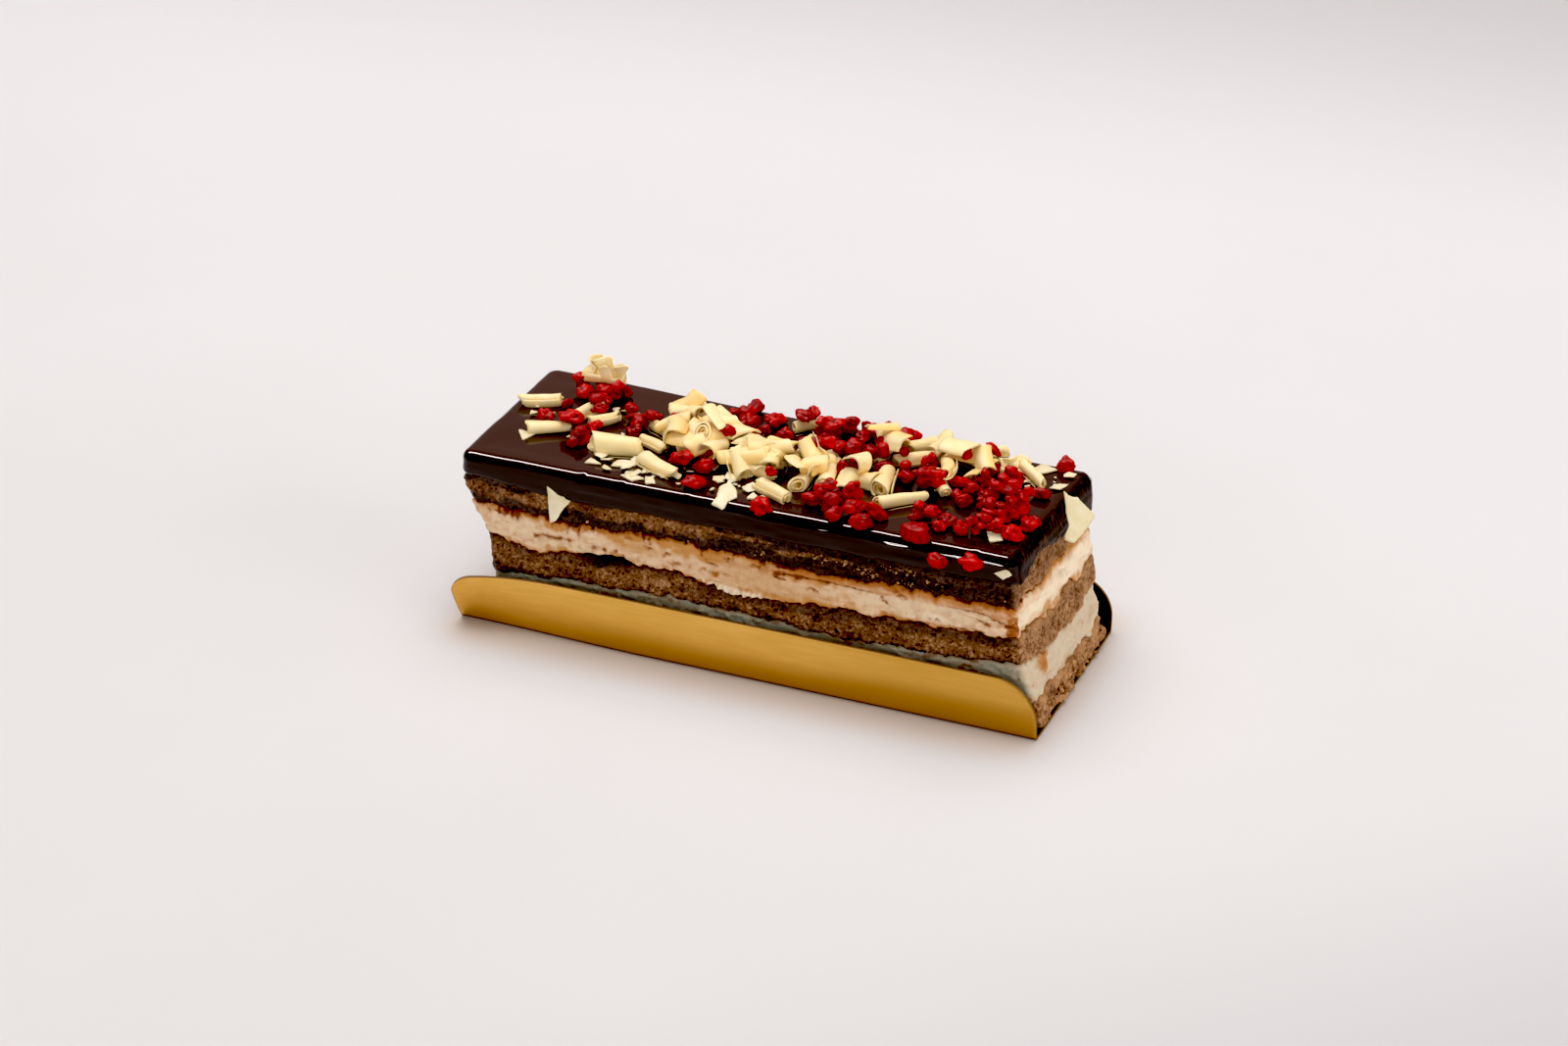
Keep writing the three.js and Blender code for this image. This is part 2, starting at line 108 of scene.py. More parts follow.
# Marks in the creams: where one begins, is full, fades and ends, along x and for the heart along z
HOLLOW_REACH = (-39, -37.5, -24, -22.5)
CRACK_REACH = (-50, -47, -28, -25)
HEART_REACH = (20, 22.2, 24.2, 26.2)
CRACK_LEVEL = 21.7
SEAM_LEVEL = 24.2

# Spots in the creams: place along x, or along y for the blob at the cut, width, height of the middle, height
PALE_SPOT = (41, 5.5, 21.5, 2)
YELLOW_SPOT = (-24, 6, 23.4, 1.6)
AMBER_BLOB = (-10.5, 2.8, 11.2, 2.8)

# Heights between which the relief of the top sponge fades under the glaze
RELIEF_FADE = (33.4, 34.4)

# Glaze
GLAZE_STEP = 0.45
LIP_RINGS = 8
WALL_RINGS = 30
EDGE_RINGS = 27
TOP_RINGS = 34
GLAZE_THICKNESS = 1.1
GLAZE_CUT_THICKNESS = 0.7
GLAZE_EDGE = 2
GLAZE_CUT_EDGE = 3.2
LIP_LEVEL = 33
LIP_BEAD_RISE = 0.7
LIP_BEAD_SWELL = 1.1
FOLD_LEVEL = 36.5

# Height of the glaze's lip at even stations, left to right along the sides and front to rear at the ends
SIDE_LIPS = (33.6, 31.8, 32.1, 32.5, 32.2, 32.2, 32.8)
CUT_LIPS = (32, 34.2, 32.4, 30.6, 30.2)
LEFT_LIPS = (33.7, 33.2, 33.4, 33, 33.5)

# Dents in the upper edge at the front: x, depth
DENTS = [(-35.3, 0.5), (-26.5, 0.25), (-12, 0.15), (26, 0.3), (39, 0.35), (49.5, 0.3)]
DENT_WIDTH = 0.8

# Toppings. They nest in each other and bed in the glaze by a share of their radius.
TOPPING_SEED = 5
STREWN_HALF_WIDTH = 18.6
NESTING = 0.75
BEDDING = 0.62
BIT_RADIUS = (1.5, 2.4)
BIT_STRETCH = (1.15, 1, 0.9)
BIT_STRAY = 1.6
BIT_TRIES = 3
BIT_SEED = 21
GOLDEN_ANGLE = math.pi * (3 - math.sqrt(5))
FULL_TURN = 6.28

# White chocolate curls that lie on the glaze: x, y, turn in degrees, length, diameter
LOW_CURLS = [
    (-57, 5, 25, 9, 3.2), (-46, 4, 70, 8, 3.4), (-50, -6, 25, 9, 3.4), (-41, 2, 45, 7, 3.2),
    (-33, -9, 10, 11, 5), (-27, -4, -20, 7, 2.8), (-22, -13, -25, 10, 3.6), (-26, 1, -30, 10, 3.2),
    (-19, -2, 40, 7, 3.8), (-17, 1, 100, 10, 4.2), (-13, 5, 0, 9, 4.4), (-4, -3, 30, 10, 5.4),
    (-6, -8, -45, 7, 4.2), (4, -14, -25, 9, 3.6), (8, -7, 90, 7.5, 3.6), (12, -5, 100, 7.5, 4.2),
    (3, 4, 90, 11, 3.2), (11, 2, -45, 7.5, 3.2), (18, 10, 105, 10, 3.2), (23, -2, 100, 9, 4.2),
    (29, -8, 40, 10.5, 3.4), (34, 2, 120, 9, 3.2), (26, 10, 35, 10.5, 3.6), (34, 14, -20, 7.5, 3),
    (37, 18, 25, 10, 3.2), (45, 13, 15, 6, 4.6), (50, 11, -25, 7.5, 3.2), (-1, 15, 45, 6, 3.6),
]

# Curls that lie on top of the rest, in the same form
HIGH_CURLS = [(-47, 16, 0, 9, 3.8), (-25, 9, 20, 7, 5.6), (25, 16, 40, 8, 3.6)]

# Drifts of dried fruit bits: x, y, reach along x, reach along y, count
BIT_DRIFTS = [
    (-47, 13, 7, 6, 7), (-46, -3, 9, 8, 5), (-30, 4, 9, 3, 4), (-16, -8, 7, 4, 3), (-10, 11, 7, 7, 6),
    (8, 16, 14, 4, 11), (13, 3, 8, 6, 7), (19, -15, 8, 4, 6), (30, 2, 6, 6, 5), (44, 4, 7, 7, 7),
    (39, -13, 7, 3, 5), (52, -8, 5, 7, 7),
]

# Single bits that stick to the rim and to the front of the glaze: x, y, z, radius
STUCK_BITS = [
    (42.4, -22.1, 35.6, 2), (49, -22.1, 36.6, 2.1), (4, -19.8, 38.6, 2.2), (25, -19, 39.4, 2.2),
    (36.5, -19, 39.2, 2.4), (54.5, 18.4, 39.6, 2.2),
]

# Smaller bits between and on top of the rest, in the same form as the drifts
SMALL_DRIFTS = [
    (-47, 11, 8, 6, 6), (-38, 2, 9, 5, 6), (-12, 10, 8, 7, 7), (11, 8, 13, 9, 20), (20, -14, 9, 4, 9),
    (33, 4, 10, 9, 12), (46, 0, 10, 9, 16), (42, -14, 9, 3, 7), (53, -8, 4, 6, 7),
]
SMALL_RADIUS = (0.9, 1.7)

# Single bits on top of the heap of curls: x, y, z, radius
TOP_BITS = [
    (-17.1, -10.1, 41, 1.6), (-12.2, -0.1, 43.4, 1.5), (-9.7, -6.8, 41, 1.6), (2.5, -11.5, 42.2, 1.6),
    (-12.1, -16.9, 39.5, 2), (-26.3, 4.8, 41, 1.8), (16.9, 1, 41, 1.9), (16.8, 6.6, 41, 1.8),
    (13.4, 4.9, 41.6, 1.8), (14.1, -2, 40.6, 1.7), (6.4, 3.1, 42.4, 1.9), (7.1, -4.7, 41.4, 1.4),
    (39.7, 15.6, 41.6, 1.7),
]

# Drifts of loose ribbons of chocolate, in the same form as the drifts of bits
RIBBON_DRIFTS = [
    (-7, -3, 12, 7, 9), (-21, 2, 6, 5, 4), (12, -5, 7, 5, 5), (34, 9, 14, 6, 7), (22, 4, 6, 8, 3),
]
RIBBON_LENGTH = (4, 8)
RIBBON_RADIUS = (1.4, 2.8)
RIBBON_TURNS = (0.4, 0.5, 0.6, 0.8)
RIBBON_RUFFLE = 0.16
RIBBON_BED = 1.4
RIBBON_LIFT = 1.2

# Wide sheets and rolls over the heap: x, y, z of the axis, its turn and lift in degrees, length, radius,
# number of turns and the angle in degrees at which the sheet starts
WIDE_SHEETS = [
    (-15.8, -2.7, 39.8, 62, 4, 8.5, 3.4, 0.44, 8), (-13.7, 3.4, 40, 164, -6, 11, 3.6, 0.36, 22),
    (-5.5, -6, 40.6, 15, 5, 8, 2.8, 0.46, 5), (-0.5, -5, 40.6, 105, -5, 7, 2.6, 0.42, 20),
    (-3, -2.5, 41, -32, 7, 8, 3.2, 0.36, 30), (-19.8, -2.8, 39.2, -6, 3, 7, 3, 0.36, 25),
    (-25.2, 10.4, 41.4, 25, 32, 7, 2.7, 0.95, 200), (-23.2, 8, 40.4, -40, 20, 5.5, 2.2, 0.6, 10),
    (9, -3, 39.6, 70, -4, 8, 2.8, 0.4, 15), (-47.5, 16, 41, 5, 4, 8, 2.2, 0.5, 0),
    (18.6, 9.1, 42.4, 113, 6, 8, 1.7, 1.4, 150), (34.5, 3.8, 41.8, 106, -8, 8, 1.6, 1.3, 150),
    (6.7, -0.6, 42, 135, 8, 9, 2, 1.2, 140),
]
SHEET_RUFFLE = 0.3

# Points round a loose sheet, round a rolled one and along either
LOOSE_STEPS = 28
ROLLED_STEPS = 50
SHEET_COLUMNS = 15

# Strips of chocolate on edge in waves: x, y, z of the foot, turn in degrees, length, height, waves
RUFFLES = [
    (-47, 16, 42.5, -8, 9.5, 4.2, 1.7), (-45, 15, 42.2, 40, 6, 4, 1.3),
    (-49.5, 16.5, 42.6, 100, 4.5, 3.6, 1), (-4, -3, 41, 30, 8, 3.6, 1.6),
    (0, -4, 41, 110, 6, 3.4, 1.3), (46, 13, 40, 20, 6, 3, 1.2),
]
RUFFLE_COLUMNS = 56
RUFFLE_ROWS = 13

# Drifts of small flat chips, in the same form as the drifts of bits
CHIP_DRIFTS = [
    (-28, -14, 9, 4, 16), (-12, -13, 11, 5, 16), (-36, -9, 6, 5, 8), (2, -11, 8, 6, 10), (50, 12, 7, 6, 12),
    (55, 11, 3, 6, 8), (28, 2, 16, 13, 16), (-46, 2, 12, 11, 12), (-18, 6, 15, 8, 12), (8, 13, 14, 6, 8),
]
CHIP_SIZE = (0.8, 4.2)

# Thickness, points along each side and largest bend of chips and shards
CHIP_FORM = (0.28, 9, 0.3)
SHARD_FORM = (0.6, 14, 0.25)

# Flat white shards: x, y, z, length, width, turn about Z, tilt from the flat, in degrees
SHARDS = [
    (-28.5, -13.4, 38.6, 6, 3, 20, 8), (-36, -15, 38.6, 4.6, 3, -15, 6), (-25.5, -18, 38.6, 5, 3, 10, 5),
    (-21.5, -18, 38.6, 4.4, 3, -30, 10), (-12.5, -8, 38.6, 4, 3, 30, 8),
    (0.5, -16.8, 38.6, 4, 2.6, -20, 6), (-9, -12.2, 38.6, 4, 3, 15, 8), (-54, -9.4, 38.6, 4.4, 3.4, 40, 8),
    (50.5, 16.6, 38.7, 5, 3.6, 15, 10), (51, -14, 38.8, 5.4, 4, -20, 14), (55.4, -20.6, 34.8, 4, 3, 0, 82),
]
END_SHARD = (61.2, 6.3, 34.8, 8.2, 9.4, 59, 62)
FRONT_FLAKE = (-41, -21, 30.5, 5, 7.6, 0, 86)
FAN_SHARD = (-5, -18, 39.2, 6.5, 5.4, 12, 20)

# Outlines of the three large shards, as shares of their length and width
FAN_OUTLINE = [
    (0.08, 0.62), (-0.19, 0.27), (-0.19, -0.26), (-0.32, -0.57), (0.1, -0.79), (0.19, -0.39), (0.46, -0.21),
    (0.34, 0.21),
]
FLAKE_OUTLINE = [
    (-0.43, 0.49), (-0.01, 0.33), (0.61, 0.19), (0.24, -0.12), (0.03, -0.41), (-0.32, -0.57), (-0.4, -0.11),
]
LEAF_OUTLINE = [
    (-0.18, 0.69), (-0.09, 0.52), (0.16, 0.41), (0.55, -0.11), (0.11, -0.32), (-0.31, -0.47), (-0.54, -0.35),
    (-0.47, -0.22), (-0.29, -0.11), (-0.26, 0.19),
]

# The large shards with their thickness, points along each side and bend
LARGE_SHARDS = [
    (FAN_SHARD, FAN_OUTLINE, 0.5, 18, -0.2), (END_SHARD, LEAF_OUTLINE, 0.6, 18, 0.12),
    (FRONT_FLAKE, FLAKE_OUTLINE, 0.5, 16, 0.08),
]

# Crumbs on the sponges: seed, and height, count and size of each band of them
CRUMB_SEED = 8
FOOT_CRUMBS = ((0.8, 4.2), 130, (0.3, 1))
PALE_CRUMBS = [((27, 31), 30, (0.1, 0.3)), ((14.5, 18), 24, (0.1, 0.3))]
# Patches of pale specks on the wet top sponge, crumbs that also stand in as painted glints: count, points
# round the plan of each and the heights they lie between
CRUMB_PATCHES = 20
PATCH_STEPS = 16
PATCH_LEVELS = (27.6, 30.6)

# Camera of the photo
CAMERA_AZIMUTH = math.radians(23.332)
CAMERA_ELEVATION = math.radians(28.523)
CAMERA_ROLL = math.radians(-0.507)
CAMERA_DISTANCE = 770.926
CAMERA_TARGET = (-3.473, 8.633, 19.14)
CAMERA_LENS = 85.03
SENSOR_WIDTH = 36

# Studio, with lengths in metres. Lights: name, place, size, watts, colour, and whether it lights surfaces
# or only shows in glossy ones.
FLOOR_HALF = 3
BLACK_LEVEL = (0.03, 0.033, 0.034)
WORLD_COLOUR = (0.97, 0.98, 1, 1)
WORLD_STRENGTH = 0.2
LIGHTS = [
    ("top_softbox", (-0.16, 0.2, 1.1), (1.2, 1), 13, (1, 0.985, 0.98), True),
    ("front_fill", (0.1, -1.2, 0.42), (1.8, 0.6), 6, (1, 0.985, 0.97), True),
    ("right_fill", (1.2, -0.1, 0.36), (1, 0.6), 6.6, (1, 0.985, 0.97), True),
    ("highlight_strip", (-0.37, 0, 0.95), (0.2, 1.1), 19, (1, 0.93, 0.91), False),
    ("front_card", (0.5, -1.1, 0.5), (0.9, 0.2), 1, (1, 0.95, 0.93), False),
    ("rear_card", (-0.42, 0.97, 0.58), (1.6, 0.9), 1.8, (1, 0.64, 0.55), False),
]


def smooth(low, high, value):
    """Rises from 0 to 1 as value goes from low to high, or falls if high is the smaller one."""
    share = np.clip((value - low) / (high - low), 0, 1)
    return share * share * (3 - 2 * share)


def lerp(a, b, share):
    return a + (b - a) * share


def bell(value, middle, width):
    return np.exp(-((value - middle) / width) ** 2)


def within(value, start, full, fade, end):
    """Rises from 0 to 1 between start and full, and falls back between fade and end."""
    return smooth(start, full, value) * smooth(end, fade, value)


def spot(across, z, place):
    """A soft spot given by its place across, width, middle height and height."""
    return bell(across, *place[:2]) * bell(z, *place[2:])


def cell_numbers(cells, seed):
    """A number from 0 to 1 for each cell with whole-number corners."""
    x, y, z = np.moveaxis(cells.astype(np.int64), -1, 0)
    mixed = ((x * 73856093) ^ (y * 19349663) ^ (z * 83492791) ^ (seed * 40503551)) & 0xFFFFFFFF
    mixed = ((mixed ^ (mixed >> 15)) * 73244475) & 0xFFFFFFFF
    mixed = ((mixed ^ (mixed >> 13)) * 73244475) & 0xFFFFFFFF
    return (mixed ^ (mixed >> 16)) / 2 ** 32


def noise(points, seed):
    """Smooth noise from -1 to 1 whose cells have the size 1. Each seed gives another pattern."""
    base = np.floor(points)
    part = points - base
    part = part ** 3 * (part * (part * 6 - 15) + 10)
    total = 0
    for corner in np.ndindex(2, 2, 2):
        weight = np.prod(np.where(np.array(corner) == 1, part, 1 - part), axis=-1)
        total = total + weight * cell_numbers(base + np.array(corner), seed)
    return 2 * total - 1


def clouds(points, octaves, seed):
    """Noise with finer and fainter noise on top of it."""
    return sum(noise(points * 2 ** i, seed + i) / 2 ** i for i in range(octaves))


def nearest_seed(points, seed):
    """Distance to the nearest of one random point a cell, and a number that goes with that point."""
    base = np.floor(points)
    best = np.full(points.shape[:-1], 9.0)
    owner = np.zeros(points.shape[:-1])
    for corner in np.ndindex(3, 3, 3):
        cell = base + np.array(corner) - 1
        place = cell + np.stack([cell_numbers(cell, seed + i) for i in (1, 2, 3)], axis=-1)
        away = np.linalg.norm(points - place, axis=-1)
        owner = np.where(away < best, cell_numbers(cell, seed), owner)
        best = np.minimum(best, away)
    return best, owner


def end_at(rows, z, share):
    """The x of an end at a height, at a share of the way from its front to its rear."""
    table = np.array(rows, dtype=float)
    front = np.interp(z, table[:, 0], table[:, 1])
    rear = np.interp(z, table[:, 0], table[:, -1])
    return lerp(front, rear, share)


def along_stations(values, share):
    """The value at a share of the way along evenly spaced values, along smooth steps between them."""
    values = np.array(values, dtype=float)
    place = np.clip(share, 0, 1) * (len(values) - 1)
    index = np.minimum(np.floor(place).astype(int), len(values) - 2)
    return lerp(values[index], values[index + 1], smooth(0, 1, place - index))


class Walk:
    """Steps round the plan, anticlockwise from the front left: place from -1 to 1 and facing of each."""

    def __init__(self, step):
        sides = (2 * (HALF_WIDTH - CORNER), LONG_SIDE)
        arc = max(4, round(math.pi / 2 * CORNER / step))
        corners = [(1, -1), (1, 1), (-1, 1), (-1, -1)]
        rows = []
        for index, (u, v) in enumerate(corners):
            from_u, from_v = corners[index - 1]
            start = (index - 1) * math.pi / 2
            count = round(sides[(index + 1) % 2] / step)
            facing = math.cos(start), math.sin(start)
            for share in np.arange(count) / count:
                rows.append((lerp(from_u, u, share), lerp(from_v, v, share), *facing))
            for angle in start + np.arange(arc) / arc * math.pi / 2:
                rows.append((u, v, math.cos(angle), math.sin(angle)))
        self.u, self.v, self.nx, self.ny = np.array(rows).T
        self.count = len(rows)

    def points(self, z, grow):
        """The points at heights z, with the plan grown outwards."""
        share = (self.v + 1) / 2
        left = end_at(LEFT_END, z, share) + CORNER
        right = end_at(RIGHT_END, z, share) - CORNER
        x = lerp(left, right, (self.u + 1) / 2) + self.nx * (CORNER + grow)
        y = self.v * (HALF_WIDTH - CORNER) + self.ny * (CORNER + grow)
        y = y + REAR_SPREAD * share * smooth(-5, -60, x) * smooth(14, 28, z)
        return np.stack(np.broadcast_arrays(x, y, z), axis=-1)

    def pick(self, index):
        """The same walk with only the steps of an index."""
        part = copy.copy(self)
        part.u, part.v, part.nx, part.ny = (side[index] for side in (self.u, self.v, self.nx, self.ny))
        part.count = len(index)
        return part

    def outward(self):
        return np.stack([self.nx, self.ny, np.zeros(self.count)], axis=-1)

    def cut(self):
        """How far each step faces the cut right end."""
        return np.where(self.nx > 0, self.nx ** 2, 0)

    def layer_top(self, name):
        sag = LAYER_SAGS.get(name, 0) * (np.maximum(0, self.u) * (1 - self.v ** 2))
        return along_stations(LAYER_TOPS[name], (self.u + 1) / 2) - sag


def grid_faces(rows, columns, closed=False, first=0):
    """The quads of a grid of points, joined round if closed."""
    row = np.arange(rows - 1)[:, None]
    column = np.arange(columns if closed else columns - 1)[None, :]
    a = first + row * columns + column
    b = first + row * columns + (column + 1) % columns
    return np.stack([a, b, b + columns, a + columns], axis=-1).reshape(-1, 4)


def spine_ends(height):
    """The x of both ends of the line along the middle of the plan."""
    return end_at(LEFT_END, height, 0.5) + HALF_WIDTH, end_at(RIGHT_END, height, 0.5) - HALF_WIDTH


def cap_faces(ring, first_ring, first_spine):
    """A spine along the middle of a ring's plan, and the triangles between both, seen from above."""
    height = ring[:, 2].mean()
    left, right = spine_ends(height)
    spine = np.zeros((SPINE_STEPS + 1, 3))
    spine[:, 0] = np.linspace(left, right, SPINE_STEPS + 1)
    spine[:, 2] = height
    share = np.clip((ring[:, 0] - left) / (right - left), 0, 1)
    near = first_spine + np.round(share * SPINE_STEPS).astype(int)
    here = first_ring + np.arange(len(ring))
    after = np.roll(here, -1)
    near_after = np.roll(near, -1)
    faces = [np.stack([here, after, near], axis=-1)]
    moved = near != near_after
    faces.append(np.stack([after, near_after, near], axis=-1)[moved])
    return spine, np.concatenate(faces)


def ring_solid(rings):
    """Points and faces of a closed solid through a stack of rings, given as rows of points."""
    rows, columns = rings.shape[:2]
    total = rows * columns
    foot, foot_faces = cap_faces(rings[0], 0, total)
    roof, roof_faces = cap_faces(rings[-1], total - columns, total + len(foot))
    points = np.concatenate([rings.reshape(-1, 3), foot, roof])
    faces = grid_faces(rows, columns, closed=True).tolist()
    faces += foot_faces[:, ::-1].tolist() + roof_faces.tolist()
    return points, faces


def slab(one, other):
    """Points and faces of a closed sheet between two grids. The faces come as one side, the other, rim."""
    rows, columns = one.shape[:2]
    count = rows * columns
    index = np.arange(count).reshape(rows, columns)
    loop = np.concatenate([index[0, :-1], index[:-1, -1], index[-1, :0:-1], index[:0:-1, 0]])
    after = np.roll(loop, -1)
    rim = np.stack([after, loop, loop + count, after + count], axis=-1)
    points = np.concatenate([one.reshape(-1, 3), other.reshape(-1, 3)])
    return points, [grid_faces(rows, columns), grid_faces(rows, columns, first=count)[:, ::-1], rim]


def join(parts):
    """Several (points, faces, values) as one."""
    points, faces, values = [], [], []
    start = 0
    for part_points, part_faces, part_values in parts:
        points.append(part_points)
        faces.append(part_faces + start)
        values.append(part_values)
        start += len(part_points)
    return np.concatenate(points), np.concatenate(faces), np.concatenate(values)


def add_piece(name, node, materials, points, faces, values=None, face_materials=None):
    """Makes a mesh from points in millimetres, with a value a point for each named attribute."""
    mesh = bpy.data.meshes.new(name)
    faces = faces if isinstance(faces, list) else faces.tolist()
    mesh.from_pydata((np.asarray(points) * MM).tolist(), [], faces)
    mesh.polygons.foreach_set("use_smooth", np.ones(len(mesh.polygons), dtype=bool))
    for material in materials:
        mesh.materials.append(material)
    if face_materials is not None:
        mesh.polygons.foreach_set("material_index", np.asarray(face_materials, dtype=np.int32))
    for key, numbers in (values or {}).items():
        full = np.zeros(len(mesh.vertices), dtype=np.float32)
        full[:numbers.size] = numbers.reshape(-1)
        mesh.attributes.new(key, "FLOAT", "POINT").data.foreach_set("value", full)
    mesh.update()
    piece = bpy.data.objects.new(name, mesh)
    bpy.context.scene.collection.objects.link(piece)
    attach(piece, "root")
    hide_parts(node)
    return piece


def srgb(red, green, blue):
    """A colour given as screen values from 0 to 255, as linear values with alpha."""
    def linear(value):
        value /= 255
        return value / 12.92 if value <= 0.04045 else ((value + 0.055) / 1.055) ** 2.4
    return (linear(red), linear(green), linear(blue), 1)


class Shader:
    """A material and short ways to add nodes to it. Places in it are metres, sizes of noise millimetres."""

    def __init__(self, name, **surface):
        self.material = bpy.data.materials.new(name)
        self.material.use_nodes = True
        self.tree = self.material.node_tree
        self.surface = self.tree.nodes["Principled BSDF"]
        self.place = self.node("ShaderNodeTexCoord").outputs["Object"]
        self.set(**surface)

    def feed(self, socket, value):
        if isinstance(value, bpy.types.NodeSocket):
            self.tree.links.new(value, socket)
        else:
            socket.default_value = value

    def set(self, **surface):
        for key, value in surface.items():
            self.feed(self.surface.inputs[key.replace("_", " ")], value)

    def node(self, kind, inputs=(), **settings):
        node = self.tree.nodes.new(kind)
        for key, value in settings.items():
            setattr(node, key, value)
        for key, value in dict(inputs).items():
            self.feed(node.inputs[key], value)
        return node

    def attribute(self, name):
        return self.node("ShaderNodeAttribute", attribute_name=name).outputs["Fac"]

    def noise(self, size, detail=2, stretch=(1, 1, 1)):
        """Noise from 0 to 1 whose lumps are about size millimetres, longer along a stretched axis."""
        scale = tuple(1 / (size * MM * part) for part in stretch)
        mapped = self.node("ShaderNodeMapping", {"Vector": self.place, "Scale": scale}).outputs[0]
        inputs = {"Vector": mapped, "Scale": 1, "Detail": detail}
        return self.node("ShaderNodeTexNoise", inputs).outputs["Fac"]

    def axes(self):
        """The place along X, Y and Z."""
        parts = self.node("ShaderNodeSeparateXYZ", {"Vector": self.place}).outputs
        return parts["X"], parts["Y"], parts["Z"]

    def ease(self, value, low, high, to_low=0, to_high=1):
        inputs = {"Value": value, "From Min": low, "From Max": high, "To Min": to_low, "To Max": to_high}
        return self.node("ShaderNodeMapRange", inputs, interpolation_type="SMOOTHSTEP").outputs["Result"]

    def math(self, operation, a, b):
        return self.node("ShaderNodeMath", {0: a, 1: b}, operation=operation).outputs[0]

    def mix(self, share, a, b):
        node = self.node("ShaderNodeMix", {0: share, 6: a, 7: b}, data_type="RGBA")
        return node.outputs[2]

    def bump(self, height, distance, strength=1):
        inputs = {"Height": height, "Distance": distance * MM, "Strength": strength}
        self.set(Normal=self.node("ShaderNodeBump", inputs).outputs[0])


def sponge_material(name, dark, brown, light, smeared):
    shader = Shader(name, Specular_IOR_Level=0.4)
    crumb = shader.attribute("crumb")
    soak_and_shade = shader.attribute("soak_and_shade")
    fine = shader.noise(0.45, 3)
    mixed = shader.math("ADD", crumb, shader.ease(fine, 0.2, 0.8, -0.3, 0.3))
    low = shader.mix(shader.ease(mixed, 0.1, 0.5), dark, brown)
    dry = shader.mix(shader.ease(mixed, 0.5, 1), low, light)
    patch = shader.ease(shader.noise(7, 2), 0.4, 0.7, 0, 0.3)
    dry = shader.mix(patch, dry, dark)
    dry = shader.mix(shader.attribute("smear"), dry, smeared)
    # The wet colour also serves as painted shade where the middle sponge lies under the cream's hollow
    wet = shader.mix(shader.ease(mixed, 0.35, 1), srgb(20, 11, 8), srgb(70, 44, 30))
    shader.set(Base_Color=shader.mix(soak_and_shade, dry, wet))
    shader.set(Roughness=shader.ease(soak_and_shade, 0.1, 0.9, 0.85, 0.16))
    shader.bump(fine, 0.15, 0.9)
    return shader.material


def cream_material(name, cream, pale, tinged, brown, shaded):
    shader = Shader(name, Roughness=0.5, Specular_IOR_Level=0.35)
    shader.set(Subsurface_Weight=0.3, Subsurface_Scale=0.001, Subsurface_Radius=(1, 0.6, 0.35))
    fine = shader.noise(0.6, 3, (1.5, 1.5, 1))
    colour = shader.mix(shader.attribute("white"), cream, pale)
    wisps = shader.ease(shader.noise(1.8, 4, (2.6, 2.6, 1)), 0.5, 0.8, 0, 0.45)
    colour = shader.mix(shader.math("MAXIMUM", wisps, shader.attribute("tinge")), colour, tinged)
    streak = shader.math("ADD", shader.attribute("streak"), shader.ease(fine, 0.25, 0.75, -0.25, 0.25))
    colour = shader.mix(shader.ease(streak, 0.2, 1), colour, brown)
    # Painted shade: the shaded colour is mixed in where the cream lies in shade, under the card's flaps and
    # in the upper cream's hollow and crack
    shader.set(Base_Color=shader.mix(shader.attribute("painted_shade"), colour, shaded))
    shader.bump(fine, 0.14, 0.7)
    return shader.material


def glaze_material():
    shader = Shader("dark_glaze", Roughness=0.05, Specular_IOR_Level=0.5)
    cloudy = shader.ease(shader.noise(9, 3, (3, 1, 1)), 0.3, 0.7)
    colour = shader.mix(cloudy, srgb(48, 23, 15), srgb(56, 29, 20))
    # Painted shade: the sides are given a darker colour than the top, which faces the light
    shader.set(Base_Color=shader.mix(shader.attribute("wall"), colour, srgb(27, 13, 9)))
    return shader.material


def cut_glaze_material():
    shader = Shader("cut_glaze", Roughness=0.24, Specular_IOR_Level=0.07)
    # Pale vertical streaks, partly smearing where the glaze was cut and partly painted sheen
    streaks = shader.ease(shader.noise(0.8, 4, (1, 1, 4)), 0.45, 0.75, 0, 0.4)
    shader.set(Base_Color=shader.mix(streaks, srgb(30, 15, 10), srgb(120, 88, 66)))
    return shader.material


def chocolate_material(name, cream, pale, deep):
    shader = Shader(name, Roughness=0.5, Specular_IOR_Level=0.25)
    shader.set(Subsurface_Weight=0.1, Subsurface_Scale=0.0006, Subsurface_Radius=(1, 0.75, 0.4))
    tone = shader.ease(shader.noise(2.2, 3), 0.3, 0.75)
    shader.set(Base_Color=shader.mix(shader.attribute("shade"), shader.mix(tone, cream, pale), deep))
    shader.bump(shader.noise(0.35, 3), 0.04, 0.5)
    return shader.material


def fruit_material():
    shader = Shader("dried_fruit", Roughness=0.5, Specular_IOR_Level=0.24)
    crease = shader.attribute("crease")
    tone = shader.ease(shader.noise(1.6, 3), 0.3, 0.7)
    flesh = shader.mix(tone, srgb(178, 16, 18), srgb(216, 34, 30))
    # Painted shade in the creases between the lumps; bits with a lower crease value are also darker all
    # over, a tone of their own
    shader.set(Base_Color=shader.mix(crease, srgb(110, 4, 8), flesh))
    shader.bump(shader.noise(0.3, 3), 0.08, 0.7)
    return shader.material


